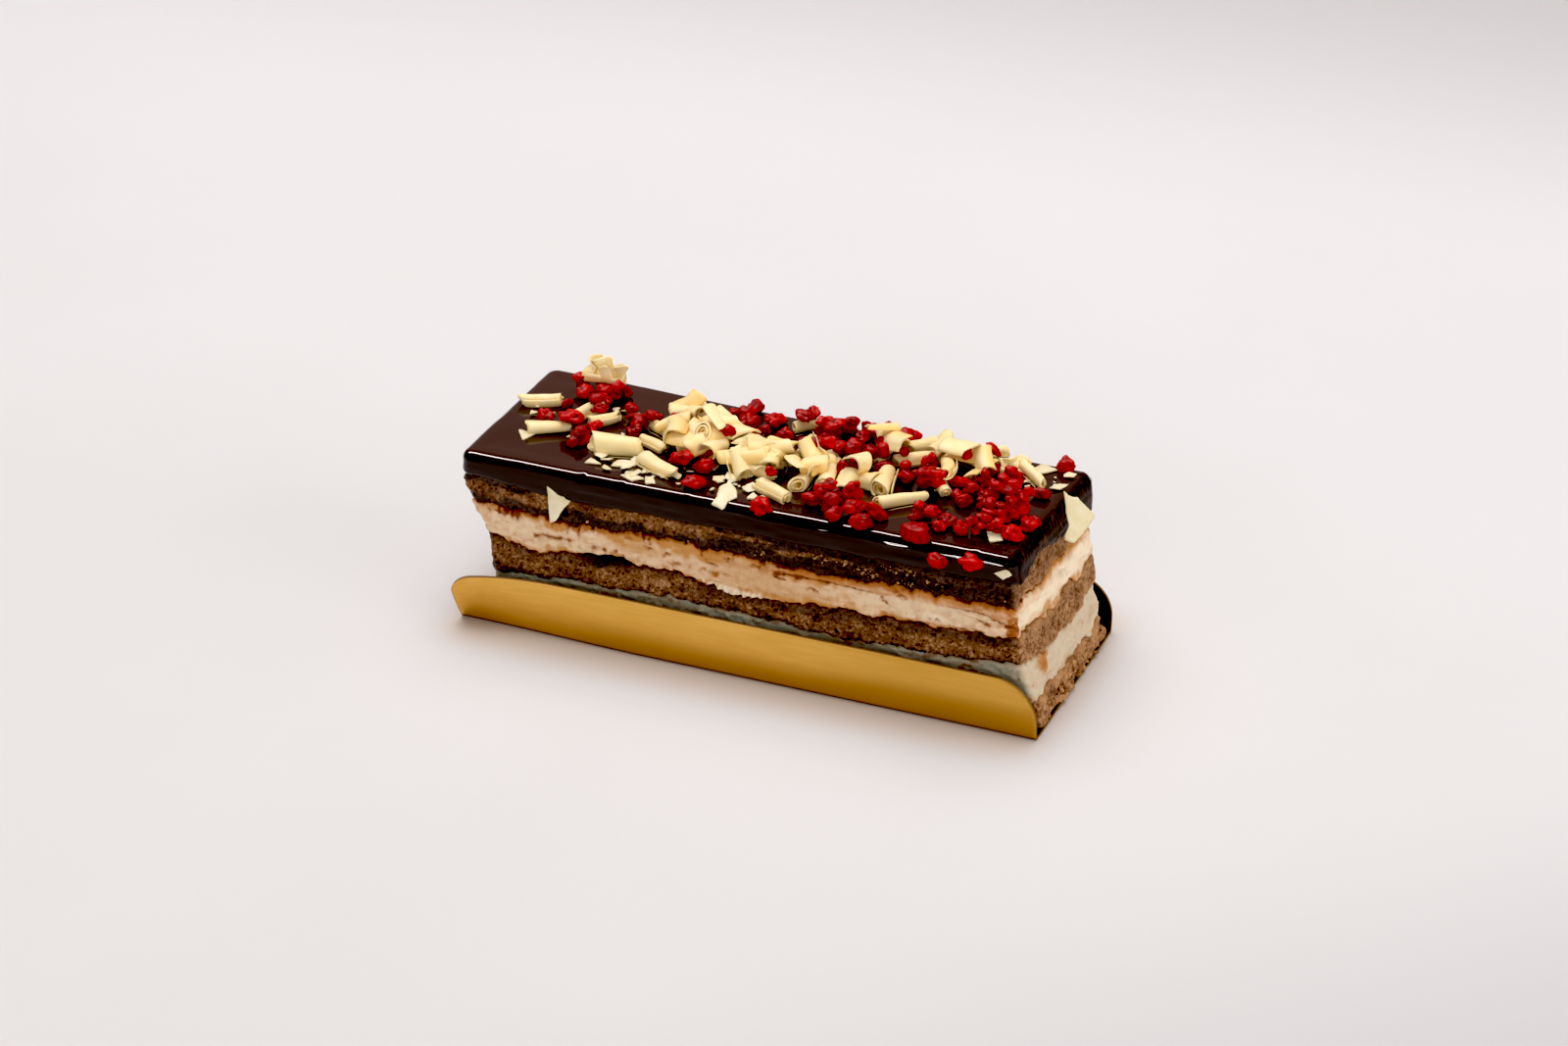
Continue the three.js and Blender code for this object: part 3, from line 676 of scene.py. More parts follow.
def gold_material():
    shader = Shader("gold_foil", Metallic=1)
    brushed = shader.noise(0.6, 3, (14, 1, 1))
    cloudy = shader.noise(11, 2, (3, 1, 1))
    colour = shader.mix(shader.ease(cloudy, 0.3, 0.7), srgb(236, 186, 102), srgb(244, 196, 112))
    colour = shader.mix(shader.ease(brushed, 0.3, 0.7, 0, 0.3), colour, srgb(224, 170, 88))
    # Painted shade: darker towards the foot of the flaps and towards the right end, less so at the left end,
    # where the gold reflects the shaded floor by the card
    x, _, height = shader.axes()
    raised = shader.math("ADD", height, shader.ease(x, 0.01, 0.035, 0.0025, 0))
    from_left = shader.ease(x, -0.06, -0.025, 0.1, 1)
    low = shader.math("MULTIPLY", shader.ease(raised, 0.011, 0.004), from_left)
    low = shader.math("MAXIMUM", low, shader.ease(x, 0, 0.03, 0, 0.35))
    colour = shader.mix(low, colour, srgb(202, 154, 78))
    # Painted shade: a dark line along the foot of the card, where it meets the table
    shader.set(Base_Color=shader.mix(shader.ease(height, 0.0003, 0.0009), srgb(120, 80, 30), colour))
    shader.set(Roughness=shader.ease(brushed, 0.2, 0.8, 0.36, 0.46))
    shader.bump(brushed, 0.01, 0.25)
    return shader.material


def card_edge_material():
    shader = Shader("card_edge", Roughness=0.7, Specular_IOR_Level=0.3)
    shader.set(Base_Color=shader.mix(shader.noise(0.4, 3), srgb(120, 84, 40), srgb(150, 110, 60)))
    return shader.material


def black_card_material():
    shader = Shader("black_card", Specular_IOR_Level=0.4)
    fibre = shader.noise(0.5, 3)
    shader.set(Base_Color=shader.mix(fibre, srgb(10, 9, 10), srgb(26, 24, 25)))
    shader.set(Roughness=shader.ease(fibre, 0.3, 0.7, 0.4, 0.55))
    return shader.material


def floor_material():
    """Pale table with painted light: lighter towards the back, darker far behind and to the right, and
    painted warm light from the gold round the card.
    """
    shader = Shader("pale_table", Roughness=0.6, Specular_IOR_Level=0.25)
    x, depth, _ = shader.axes()
    # Painted light: lighter towards the back, then darker far behind and to the right
    cloudy = shader.math("ADD", depth, shader.ease(shader.noise(120, 3), 0.3, 0.7, -0.04, 0.04))
    pale = shader.mix(shader.ease(cloudy, -0.3, 0.35), srgb(218, 214, 213), srgb(232, 229, 229))
    aside = shader.ease(shader.math("SUBTRACT", x, depth), 0.14, 0.3)
    far = shader.math("MAXIMUM", aside, shader.ease(depth, 0.23, 0.45))
    pale = shader.mix(far, pale, srgb(206, 203, 203))
    # Painted warm light that the gold throws on the table round the card
    beside = shader.ease(shader.math("ABSOLUTE", x, 0), 0.072, 0.058, 0, 0.6)
    before = shader.ease(shader.math("ABSOLUTE", depth, 0), 0.038, 0.0225)
    warmed = shader.math("MULTIPLY", before, beside)
    shader.set(Base_Color=shader.mix(warmed, pale, srgb(206, 176, 148)))
    return shader.material


def sponge_relief(points, seed):
    """How far a crumb face stands out, and how light its crumb is from 0 to 1."""
    lumps = clouds(points / 3.2, 2, seed)
    grain = clouds(points / 0.6, 2, seed + 10)
    near, kind = nearest_seed(points / 0.85, seed + 20)
    far, rare = nearest_seed(points / 3.6, seed + 30)
    pores = smooth(0.5, 0.15, near) * (kind > 0.3)
    holes = smooth(0.3, 0.12, far) * (rare > 0.7)
    out = 0.18 * lumps + 0.17 * grain - 0.26 * pores - 0.6 * holes
    crumb = 0.6 + 0.24 * grain + 0.12 * lumps - 0.38 * pores - 0.35 * holes
    return out, crumb


def layer_line(walk, level):
    """The ragged line round the top of a layer, or round the foot of the slice below the first one."""
    if level < 0:
        return np.full(walk.count, SLICE_FOOT)
    name = LAYER_NAMES[level]
    line = walk.layer_top(name)
    if name == "sponge_top":
        return line
    cut = walk.cut()
    flat = walk.points(line, 0)
    line = line + (0.5 + 0.3 * cut) * clouds(flat / 2.4, 4, 40 + level)
    line = line + 0.6 * cut * noise(flat / 5, 50 + level) + 0.26 * clouds(flat / 0.8, 2, 45 + level)
    if name == "sponge_middle":
        for place, width, rise in CREAM_SLUMPS:
            line = line + rise * bell(flat[:, 0], place, width) * (1 - cut)
    return line


def layer_seed(name):
    """The first of a hundred seeds for the noise of a layer."""
    return 100 * (LAYER_NAMES.index(name) + 1)


def layer_grid(walk, name, overlap):
    """Rings of points up a layer, the share of the way up, and how far each is from the layer's ends."""
    level = LAYER_NAMES.index(name)
    under = layer_line(walk, level - 1) - overlap
    over = layer_line(walk, level) + overlap
    rows = max(8, round((over - under).mean() / LAYER_STEP))
    share = np.linspace(0, 1, rows + 1)[:, None]
    base = walk.points(lerp(under, over, share), LAYER_BULGES[name])
    edge = np.minimum(share, 1 - share) * (over - under) - overlap
    return base, share, edge


def cut_relief(walk, base):
    """How far the cut end stands out in lumps that run across all layers."""
    return walk.cut() * 0.4 * clouds(base / 4.5, 2, 320)


def sponge_piece(walk, name, material, soak_and_shade_of):
    """A porous sponge. The top one stands out a little at the left end and is smooth under the glaze."""
    base, share, edge = layer_grid(walk, name, 0)
    seed = layer_seed(name)
    z = base[..., 2]
    out, crumb = sponge_relief(base, seed)
    crumb = crumb + 0.16 * walk.cut()
    out = out - 0.35 * smooth(0.6, 0, edge) + cut_relief(walk, base)
    left_end = np.where(walk.nx < 0, walk.nx ** 2, 0)
    out = out + 0.7 * left_end * (1 + noise(base / 1.5, 307)) * smooth(28, 31, z)
    out = out * (1 - smooth(*RELIEF_FADE, z))
    points, faces = ring_solid(base + out[..., None] * walk.outward())
    streaks = clouds(base / (2.5, 2.5, 5), 3, seed + 40)
    smear = walk.cut() * smooth(1.4, 0.1, edge + 1.1 * streaks) * 0.5
    values = {"crumb": crumb, "soak_and_shade": np.clip(soak_and_shade_of(walk, base, share), 0, 1), "smear": smear}
    add_piece("crumb_" + name.split("_")[1], name, [material], points, faces, values)


def bottom_soak(walk, base, share):
    """How wet the bottom sponge is, as a few faint patches."""
    return 0.15 * smooth(0.3, 0.7, noise(base / 4, 301))


def middle_soak_and_shade(walk, base, share):
    """How wet the middle sponge is: along its top and foot, at the left, in the middle and in patches, and
    its painted shade under the cream's hollow.
    """
    x = base[..., 0]
    ragged = clouds(base / (3, 3, 1.5), 2, 302)
    top = smooth(0.74, 0.95, share + 0.14 * ragged + 0.16 * smooth(-22, 0, x))
    left = smooth(-22, -46, x) * smooth(0.3, 0, share + 0.3 * noise(base / 3, 303))
    middle = 0.85 * bell(x, 2, 12) * smooth(-0.3, 0.5, ragged)
    # Painted shade under the hollow in the upper cream, given the wet colour
    shaded = smooth(0.7, 0.9, share + 0.06 * ragged) * bell(x, -31, 7) * (walk.ny < -0.5)
    foot = smooth(0.2, 0.04, share + 0.12 * ragged) * 0.7
    patch = smooth(0.25, 0.6, clouds(base / (6, 6, 2), 2, 306)) * 0.45
    soaked_and_shaded = np.maximum.reduce([0.65 * top, 0.7 * left, middle, shaded, foot, patch])
    return soaked_and_shaded * (1 - 0.75 * walk.cut())


def top_soak(walk, base, share):
    """How wet the top sponge is: along its foot, under the glaze and all over its right half."""
    x, _, height = np.moveaxis(base, -1, 0)
    ragged = clouds(base / (4, 4, 1.5), 2, 304)
    low = smooth(29.4, 28.2, height + 1.1 * ragged) * 0.95
    high = smooth(30.6, 31.4, height + 0.8 * ragged) * 0.9
    right = smooth(-16, 4, x + 9 * ragged)
    streaks = smooth(0.5, 0.15, clouds(base / (9, 9, 0.9), 2, 305))
    wet = np.maximum.reduce([low, high, right * streaks, 0.8 * smooth(14, 34, x)])
    return wet * (1 - 0.85 * walk.cut())


def cream_piece(walk, name, material, relief_of):
    """A torn cream with brown marks, which reaches a little into the sponges."""
    base, share, edge = layer_grid(walk, name, CREAM_OVERLAP)
    seed = layer_seed(name)
    x = base[..., 0]
    tears = clouds(base / (6, 6, 1.4), 3, seed)
    torn = clouds(base / (1.3, 1.3, 0.9), 3, seed + 30)
    swell = clouds(base / (7, 7, 3), 2, seed + 10)
    leaning = base + (0, 0, 1) * (0.19 * base[..., :1])
    blots = smooth(0.3, 0.9, clouds(leaning / (3.4, 3.4, 1.2), 3, seed + 40))
    blots = blots * smooth(-0.1, 0.5, noise(base / (8, 8, 3), seed + 50))
    dragged = smooth(0, 0.8, clouds(base / (1.2, 1.2, 4), 3, seed + 60)) * smooth(3.4, 0.3, edge)
    dragged = dragged * smooth(0, 0.5, share - 0.3) * smooth(20, -15, x)
    strayed = base + 0.4 * np.stack([noise(base / 0.9, seed + i) for i in (61, 62, 63)], axis=-1)
    near, kind = nearest_seed(strayed / (4, 4, 1.7), seed + 20)
    flecks = smooth(0.5, 0.12, near) * (kind > 0.7)
    rough = smooth(-0.3, 0.5, swell + 0.5 * smooth(20, -20, x))
    out = 0.24 * swell + 0.16 * tears + 0.3 * torn * rough - 0.12 * blots - 0.9 * smooth(0.7, -0.3, edge)
    out = out + cut_relief(walk, base)
    tinge = 0.8 * smooth(1.1, 0, edge + 0.8 * tears) + 0.3 * smooth(0.2, 0.9, tears)
    values = {
        "white": 0.72 * smooth(0.4, 2.6, edge + 1.9 * swell + 0.8 * torn + 0.7 * smooth(-12, -36, x)),
        "tinge": tinge + 0.35 * smooth(0.2, 0.9, torn) * rough + 0.6 * blots + 0.7 * dragged + 0.8 * flecks,
        "streak": smooth(0.45, -0.1, edge + 0.4 * torn) + 0.7 * blots + dragged + 0.55 * flecks,
        "painted_shade": np.zeros_like(x),
    }
    rings = base + relief_of(walk, base, out, values)[..., None] * walk.outward()
    points, faces = ring_solid(rings)
    values = {key: np.clip(value, 0, 1) for key, value in values.items()}
    add_piece("cream_fill_" + name.split("_")[1], name, [material], points, faces, values)


def lower_cream_relief(walk, base, out, values):
    """The lower cream: painted shade from the card's flaps and brown mottles on both long sides, an amber
    blob at the cut.
    """
    x, y, z = np.moveaxis(base, -1, 0)
    cut = walk.cut()
    side = walk.ny ** 2
    ragged = clouds(base / 1.6, 2, 311)
    blob = smooth(0.2, 0.9, spot(y, z, AMBER_BLOB) + 0.3 * ragged) * cut
    mottled = smooth(0.1, 0.6, clouds(base / (3, 3, 1.3), 3, 319)) * side
    painted_shade_depth = 0.8 + 0.4 * clouds(base / (4, 4, 1.4), 3, 312)
    marks = 0.35 * blob * smooth(0, 0.5, ragged) + 0.9 * mottled
    values["white"] = np.maximum(values["white"], 0.75 * cut)
    values["tinge"] = values["tinge"] * (1 - 0.6 * cut) + blob
    values["streak"] = values["streak"] * (1 - 0.5 * cut) + marks
    # Painted shade where the card's flaps shade both long sides, uneven in depth, lighter in the mottles and
    # fading out at the cut end
    values["painted_shade"] = painted_shade_depth * (1 - 0.6 * mottled) * side * smooth(64, 56, x)
    return out + 0.6 * blob


def upper_cream_relief(walk, base, out, values):
    """The upper cream has a hollow under it and a crack, with painted shade in both, a crumbly ridge, pale
    and dull parts, a seam along its right half and a brown smear down the front right corner."""
    x, _, z = np.moveaxis(base, -1, 0)
    cut = walk.cut()
    side = walk.ny ** 2
    front = np.where(walk.ny < 0, side, 0)
    fine = clouds(base / 0.7, 2, 317)
    roof = np.interp(x, *zip(*HOLLOW_ROOF)) + 0.3 * noise(base / 1.2, 310)
    hollow = smooth(0.2, -0.2, z - roof) * within(x, *HOLLOW_REACH) * front
    level = CRACK_LEVEL + 0.5 * noise(base / (2.5, 2.5, 50), 316)
    crack = bell(z, level, 0.5) * within(x, *CRACK_REACH) * front
    crack = crack * smooth(-0.2, 0.5, clouds(base / (1.6, 1.6, 50), 2, 315))
    ridge = bell(x, -2.5, 7) * bell(z - walk.layer_top("sponge_middle"), 0.7, 0.9) * front
    level = SEAM_LEVEL + 0.35 * noise(base / (6, 6, 50), 314) - 1.7 * smooth(50, 58, x)
    band = smooth(-0.1, 0.5, z - level) * smooth(4, 14, x) * side
    seam = bell(z, level, 0.26) * smooth(6, 10, x) * (1 - bell(x, 36, 8)) * side
    smear = smooth(0.15, 0.5, bell(x, 57.2, 1.1) + 0.25 * fine) * (walk.ny < -0.2)
    smear = smear * smooth(25.5, 23.5, z + 1.5 * fine)
    heart = cut * within(z + 1.1 * clouds(base / (4, 4, 2.5), 2, 318), *HEART_REACH)
    pale = np.maximum.reduce([spot(x, z, PALE_SPOT) * front, smooth(0.2, 0.6, ridge + 0.2 * fine), heart])
    dull = (1 - 0.8 * spot(x, z, YELLOW_SPOT) * front) * (1 - 0.55 * bell(x, 3, 14) * front)
    tinge = values["tinge"] * (1 - 0.4 * cut) + 0.45 * band + 0.6 * seam + 0.8 * crack
    streak = values["streak"] + 0.8 * seam + 0.75 * crack
    values["white"] = np.maximum(values["white"] * dull, pale)
    values["tinge"] = tinge * (1 - 0.8 * pale) + smear
    values["streak"] = streak * (1 - 0.8 * np.maximum(ridge, heart)) + 0.6 * smear
    # Painted shade in the hollow and, faintly, in the crack
    values["painted_shade"] = np.maximum(hollow, 0.1 * crack)
    return out - 1.8 * hollow - 0.3 * crack - 0.3 * seam + ridge * (0.5 + 0.9 * fine)


def glaze_folds(walk, walls):
    """How far the sides of the glaze stand out in ripples, a fold along the right half and dents."""
    x, y, z = np.moveaxis(walls, -1, 0)
    along = np.stack([x / 7, y / 40, 0 * z], axis=-1)
    ripple = 0.13 * noise(walls / (16, 16, 1.3), 63) + 0.06 * noise(walls / (5, 5, 1), 64)
    ripple = ripple * smooth(GLAZE_TOP - 0.4, GLAZE_TOP - 1.4, z)
    level = FOLD_LEVEL + 0.25 * noise(along, 67)
    reach = 0.58 * walk.ny ** 2 * smooth(-8, 4, x) * (0.75 + 0.5 * noise(along * 1.7, 68))
    ripple = ripple + reach * bell(z, level, 0.22)
    for place, depth in DENTS:
        dent = depth * bell(x, place, DENT_WIDTH) * bell(z, GLAZE_TOP - 0.5, 1.2)
        ripple = ripple - dent * (walk.ny < -0.5)
    ripple[:2] = 0
    return ripple


def glaze_walls(walk):
    """Rings of points from inside the glaze's wall round its lip and up to the flat top."""
    cut = walk.cut()
    flat = walk.points(np.full(walk.count, LIP_LEVEL), 0)
    across = (walk.v + 1) / 2
    end = np.where(walk.nx > 0, along_stations(CUT_LIPS, across), along_stations(LEFT_LIPS, across))
    ragged = 0.45 * clouds(flat / 4.5, 3, 60) + 0.5 * cut * clouds(flat / 0.9, 2, 61)
    lip = along_stations(SIDE_LIPS, (walk.u + 1) / 2) * walk.ny ** 2 + end * walk.nx ** 2 + ragged
    wave = 0.1 * noise(flat / 8, 62) + 0.05 * noise(flat / 2.5, 66)
    thickness = lerp(GLAZE_THICKNESS, GLAZE_CUT_THICKNESS, cut) + wave
    edge = lerp(GLAZE_EDGE, GLAZE_CUT_EDGE, cut)
    bead = thickness * LIP_BEAD_SWELL
    heights = [np.full(walk.count, SPONGE_TOP + GAP / 2), lip + 0.5]
    grows = [np.full(walk.count, GAP)] * 2
    for angle in np.linspace(-0.9 * math.pi, 0, LIP_RINGS)[1:]:
        heights.append(lip + LIP_BEAD_RISE * (1 + math.sin(angle)))
        grows.append((GAP + bead) / 2 + (bead - GAP) / 2 * math.cos(angle))
    for share in np.linspace(0, 1, WALL_RINGS)[1:-1]:
        heights.append(lerp(lip + LIP_BEAD_RISE, GLAZE_TOP - edge, share))
        grows.append(lerp(bead, thickness, smooth(0, 1, share)))
    for angle in np.linspace(0, math.pi / 2, EDGE_RINGS):
        heights.append(GLAZE_TOP - edge * (1 - math.sin(angle)))
        grows.append(thickness - edge * (1 - math.cos(angle)))
    walls = walk.points(np.array(heights), np.array(grows))
    return walls + glaze_folds(walk, walls)[..., None] * walk.outward()


def glaze_piece(materials):
    """The poured glaze, dull where it was cut."""
    walk = Walk(GLAZE_STEP)
    walls = glaze_walls(walk)
    rim = walls[-1]
    spine = np.stack([np.clip(rim[:, 0], *spine_ends(GLAZE_TOP)), 0 * rim[:, 0], rim[:, 2]], axis=-1)
    top = lerp(rim, spine, np.linspace(0, 0.98, TOP_RINGS)[1:, None, None])
    inside = np.linspace(0, 1, TOP_RINGS - 1)[:, None]
    top[..., 2] += 0.07 * clouds(top / (22, 7, 50), 2, 65) * smooth(0, 0.15, inside)
    rings = np.concatenate([walls, top])
    points, faces = ring_solid(rings)
    height = rings[..., 2]
    # How far down the side a point is, for the sides' painted shade
    wall = smooth(GLAZE_TOP - 0.1, GLAZE_TOP - 1.1, height)
    dull = np.zeros(len(points), dtype=bool)
    dull[:height.size] = ((walk.cut() > 0.6) & (height < GLAZE_TOP - 0.5)).reshape(-1)
    kinds = [int(dull[face].all()) for face in faces]
    add_piece("glaze_coat", "glaze", materials, points, faces, {"wall": wall}, kinds)


class Resting:
    """Balls that lie on the glaze and on each other, sunk in a little."""

    def __init__(self):
        self.balls = []

    def height(self, x, y, radius):
        z = GLAZE_TOP + BEDDING * radius
        for bx, by, bz, ball_radius in self.balls:
            reach = NESTING * (ball_radius + radius)
            away = math.hypot(bx - x, by - y)
            if away < reach:
                z = max(z, bz + math.sqrt(reach ** 2 - away ** 2))
        return z

    def curl(self, x, y, turn, length, diameter):
        """The middle of a curl at rest, half of its axis and its radius."""
        radius = diameter / 2
        half = (length - diameter) / 2
        reach_x = half * math.cos(math.radians(turn))
        reach_y = half * math.sin(math.radians(turn))
        heights = [self.height(x + s * reach_x, y + s * reach_y, radius) for s in (-1, 0, 1)]
        level = (heights[0] + heights[2]) / 2
        middle = level + max(0, heights[1] - level)
        rise = (heights[2] - heights[0]) / 2
        for s in (-1, 0, 1):
            self.balls.append((x + s * reach_x, y + s * reach_y, middle + s * rise, radius))
        return Vector((x, y, middle)), Vector((reach_x, reach_y, rise)).normalized() * (length / 2), radius


def seeded(seed):
    """A number generator of numbers between 0 and 1, the same row each time for the same seed."""
    state = seed
    while True:
        state = (state * 1664525 + 1013904223) % 2 ** 32
        yield state / 2 ** 32


def rest_bits(resting):
    """The places of the fruit bits as x, y, z, radius."""
    draw = seeded(BIT_SEED)
    bits = []
    for x, y, reach_x, reach_y, count in BIT_DRIFTS:
        for i in range(count):
            out = math.sqrt((i + 0.5) / count)
            angle = i * GOLDEN_ANGLE + x
            radius = lerp(*BIT_RADIUS, next(draw))
            places = []
            for _ in range(BIT_TRIES):
                px = x + reach_x * out * math.cos(angle) + BIT_STRAY * (2 * next(draw) - 1)
                py = y + reach_y * out * math.sin(angle) + BIT_STRAY * (2 * next(draw) - 1)
                places.append((px, py, resting.height(px, py, radius), radius))
            lowest = min(places, key=lambda place: place[2])
            resting.balls.append(lowest)
            bits.append(lowest)
    return bits + STUCK_BITS


def axes_along(along):
    """Columns across, over and along for a curl's axis."""
    along = along.normalized()
    across = Vector((0, 0, 1)).cross(along).normalized()
    return np.array(Matrix((across, along.cross(across), along)))


def curl_part(centre, half_axis, radius, turns, start, ruffle, rng):
    """A sheet of chocolate rolled up round its axis, uneven and thinner towards its edges."""
    around = np.linspace(0, 1, LOOSE_STEPS if turns < 1 else ROLLED_STEPS)[:, None]
    along = np.linspace(-1, 1, SHEET_COLUMNS)[None, :]
    pitch = min(0.5, 0.72 * radius / turns)
    angle = start + around * turns * 2 * math.pi
    place = rng.random() * 90
    sheet = np.stack(np.broadcast_arrays(around * turns * 4, along * 2, place), axis=-1)
    taper = 1 + rng.uniform(-0.2, 0.2) * along
    lift = rng.uniform(0, 0.22) * radius * smooth(0.18, 0, around)
    flat = 1 + 0.08 * np.cos(2 * angle + rng.uniform(0, 6))
    out = (radius - pitch * turns * around) * taper * flat + lift + 0.06 * clouds(sheet, 2, 70)
    out = out + ruffle * noise(sheet * (0.9, 0.8, 1), 77)
    wall = 0.32 * smooth(0, 0.12, around) * smooth(1, 0.9, around) + 0.12
    slant = rng.uniform(0.1, 0.45, 2) * radius
    phase = rng.uniform(0, FULL_TURN, 2)
    tilt = np.where(along > 0, slant[0] * np.cos(angle + phase[0]), slant[1] * np.cos(angle + phase[1]))
    edge = np.stack(np.broadcast_arrays(around * turns * 5, np.sign(along) * 3, place), axis=-1)
    reach = half_axis.length * (0.94 + (0.1 + 0.5 * ruffle) * noise(edge, 71) * np.abs(along))
    axial = along * reach + tilt * np.abs(along) ** 3
    bow = rng.uniform(-0.5, 0.5) * (along ** 2 - 0.3)
    grids = []
    for depth in (out - wall, out):
        local = np.broadcast_arrays(depth * np.cos(angle) + bow, depth * np.sin(angle), axial)
        grids.append(np.stack(local, axis=-1) @ axes_along(half_axis) + np.array(centre))
    points, faces = slab(*grids)
    # Painted shade: deeper colour towards the inner turns, and a little deeper on the sheet's outer face
    shade = np.broadcast_to(smooth(0.35, 1, around) * 0.8, out.shape).reshape(-1)
    return points, np.concatenate(faces), np.concatenate([shade, np.clip(shade + 0.3, 0, 1)])


def curl_parts(curls, rng):
    """Tightly rolled curls."""
    parts = []
    for centre, half_axis, radius in curls:
        start = rng.uniform(-0.6, 0.9) + math.pi
        turns = rng.uniform(0.62, 0.72) * radius / 0.5
        parts.append(curl_part(centre, half_axis, radius, turns, start, 0, rng))
    return parts


def ruffle_parts(rng):
    """Strips that stand on edge in waves, lean apart towards the top and have a torn upper edge."""
    parts = []
    for x, y, z, turn, length, height, waves in RUFFLES:
        along, up = np.meshgrid(np.linspace(-0.5, 0.5, RUFFLE_COLUMNS), np.linspace(0, 1, RUFFLE_ROWS))
        place = np.stack([along * length / 4, up / 2, 0 * up + rng.random() * 90], axis=-1)
        swing = np.sin(along * waves * 2 * math.pi + rng.uniform(0, FULL_TURN)) + 0.5 * noise(place, 78)
        local = np.stack([
            along * length * (0.75 + 0.25 * up) + 0.5 * noise(place, 79),
            swing * length / waves * 0.2 * (0.45 + 0.75 * up ** 2),
            height * up * (0.85 + 0.4 * noise(place * (1.6, 0, 1), 80)) * (1 - 1.4 * along ** 2),
        ], axis=-1)
        facing = np.cross(np.gradient(local, axis=1), np.gradient(local, axis=0))
        facing = facing / np.linalg.norm(facing, axis=-1, keepdims=True)
        turned = np.array(Matrix.Rotation(math.radians(turn), 3, "Z")).T
        wall = facing * (0.24 - 0.12 * up)[..., None]
        points, faces = slab(*((local + side * wall) @ turned + (x, y, z) for side in (1, -1)))
        # Painted shade: deeper colour towards the foot of the strip
        shade = np.tile((0.7 * smooth(0.5, 0, up)).reshape(-1), 2)
        parts.append((points, np.concatenate(faces), shade))
    return parts


def outline_reach(outline, angle):
    """How far an outline round the origin reaches in each direction."""
    corners = np.array(outline, dtype=float)
    reach = np.zeros_like(angle)
    ray = np.stack([np.cos(angle), np.sin(angle)], axis=-1)
    for a, b in zip(corners, np.roll(corners, -1, axis=0)):
        side = b - a
        across = ray[..., 0] * side[1] - ray[..., 1] * side[0]
        across = np.where(np.abs(across) < 1e-9, 1e-9, across)
        far = (a[0] * side[1] - a[1] * side[0]) / across
        place = (a[0] * ray[..., 1] - a[1] * ray[..., 0]) / across
        reach = np.where((far > 0) & (place >= -1e-6) & (place <= 1 + 1e-6), np.maximum(reach, far), reach)
    return reach


def shard_part(shard, outline, thickness, steps, bend, rng):
    """A thin plate with an irregular outline, bent along its length."""
    x, y, z, length, width, turn, tilt = shard
    line = np.linspace(-1, 1, steps)
    a, b = np.meshgrid(line, line, indexing="ij")
    angle = np.arctan2(b, a)
    out = np.maximum(np.abs(a), np.abs(b))
    reach = outline_reach(outline, angle) * out
    flat_x = reach * np.cos(angle) * length
    flat_y = reach * np.sin(angle) * width
    seed_place = rng.random() * 90
    wave = noise(np.stack([flat_x / 1.6, flat_y / 1.6, 0 * a + seed_place], axis=-1), 72)
    rise = bend * (flat_y / width) ** 2 * width - 0.12 * wave
    fray = 0.3 / length * noise(np.stack([angle * 4, 0 * a + seed_place, 0 * a], axis=-1), 73) * out
    half = thickness / 2 * (1 - 0.5 * out ** 4)
    turned = Matrix.Rotation(math.radians(turn), 3, "Z") @ Matrix.Rotation(math.radians(tilt), 3, "X")
    grids = []
    for side in (1, -1):
        local = np.stack([flat_x * (1 + fray), flat_y * (1 + fray), rise + side * half], axis=-1)
        grids.append(local @ np.array(turned).T + np.array((x, y, z)))
    points, faces = slab(*grids)
    shade = np.full(len(points), rng.uniform(0, 0.4))
    return points, np.concatenate(faces), shade


def ragged_outline(rng):
    """A random outline with three to five corners."""
    count = rng.integers(3, 6)
    angle = np.linspace(0, 2 * math.pi, count, endpoint=False) + rng.uniform(-0.3, 0.3, count)
    reach = rng.uniform(0.3, 0.62, count)
    return list(zip(np.cos(angle) * reach, np.sin(angle) * reach))


def ragged_shard(shard, thickness, steps, most_bend, rng):
    """A plate with a random outline and bend."""
    outline, bend = ragged_outline(rng), rng.uniform(-most_bend, most_bend)
    return shard_part(shard, outline, thickness, steps, bend, rng)


def chip_parts(rng):
    """Small flat chips strewn between the curls."""
    parts = []
    for x, y in strewn(CHIP_DRIFTS, rng):
        size = lerp(*CHIP_SIZE, rng.random() ** 2)
        turn, tilt = rng.uniform(0, 360), rng.uniform(-25, 25)
        chip = (x, y, GLAZE_TOP + 0.25 + 0.1 * size, size, size * rng.uniform(0.6, 1), turn, tilt)
        parts.append(ragged_shard(chip, *CHIP_FORM, rng))
    return parts


def strewn(drifts, rng):
    """Random places on the glaze, spread over each drift."""
    for x, y, reach_x, reach_y, count in drifts:
        for _ in range(count):
            out, angle = math.sqrt(rng.random()), rng.uniform(0, 2 * math.pi)
            place_y = np.clip(y + reach_y * out * math.sin(angle), -STREWN_HALF_WIDTH, STREWN_HALF_WIDTH)
            yield x + reach_x * out * math.cos(angle), place_y


def small_bits(resting, rng):
    """The places of the small fruit bits as x, y, z, radius."""
    bits = []
    for x, y in strewn(SMALL_DRIFTS, rng):
        radius = rng.uniform(*SMALL_RADIUS)
        bits.append((x, y, resting.height(x, y, radius), radius))
        resting.balls.append(bits[-1])
    return bits


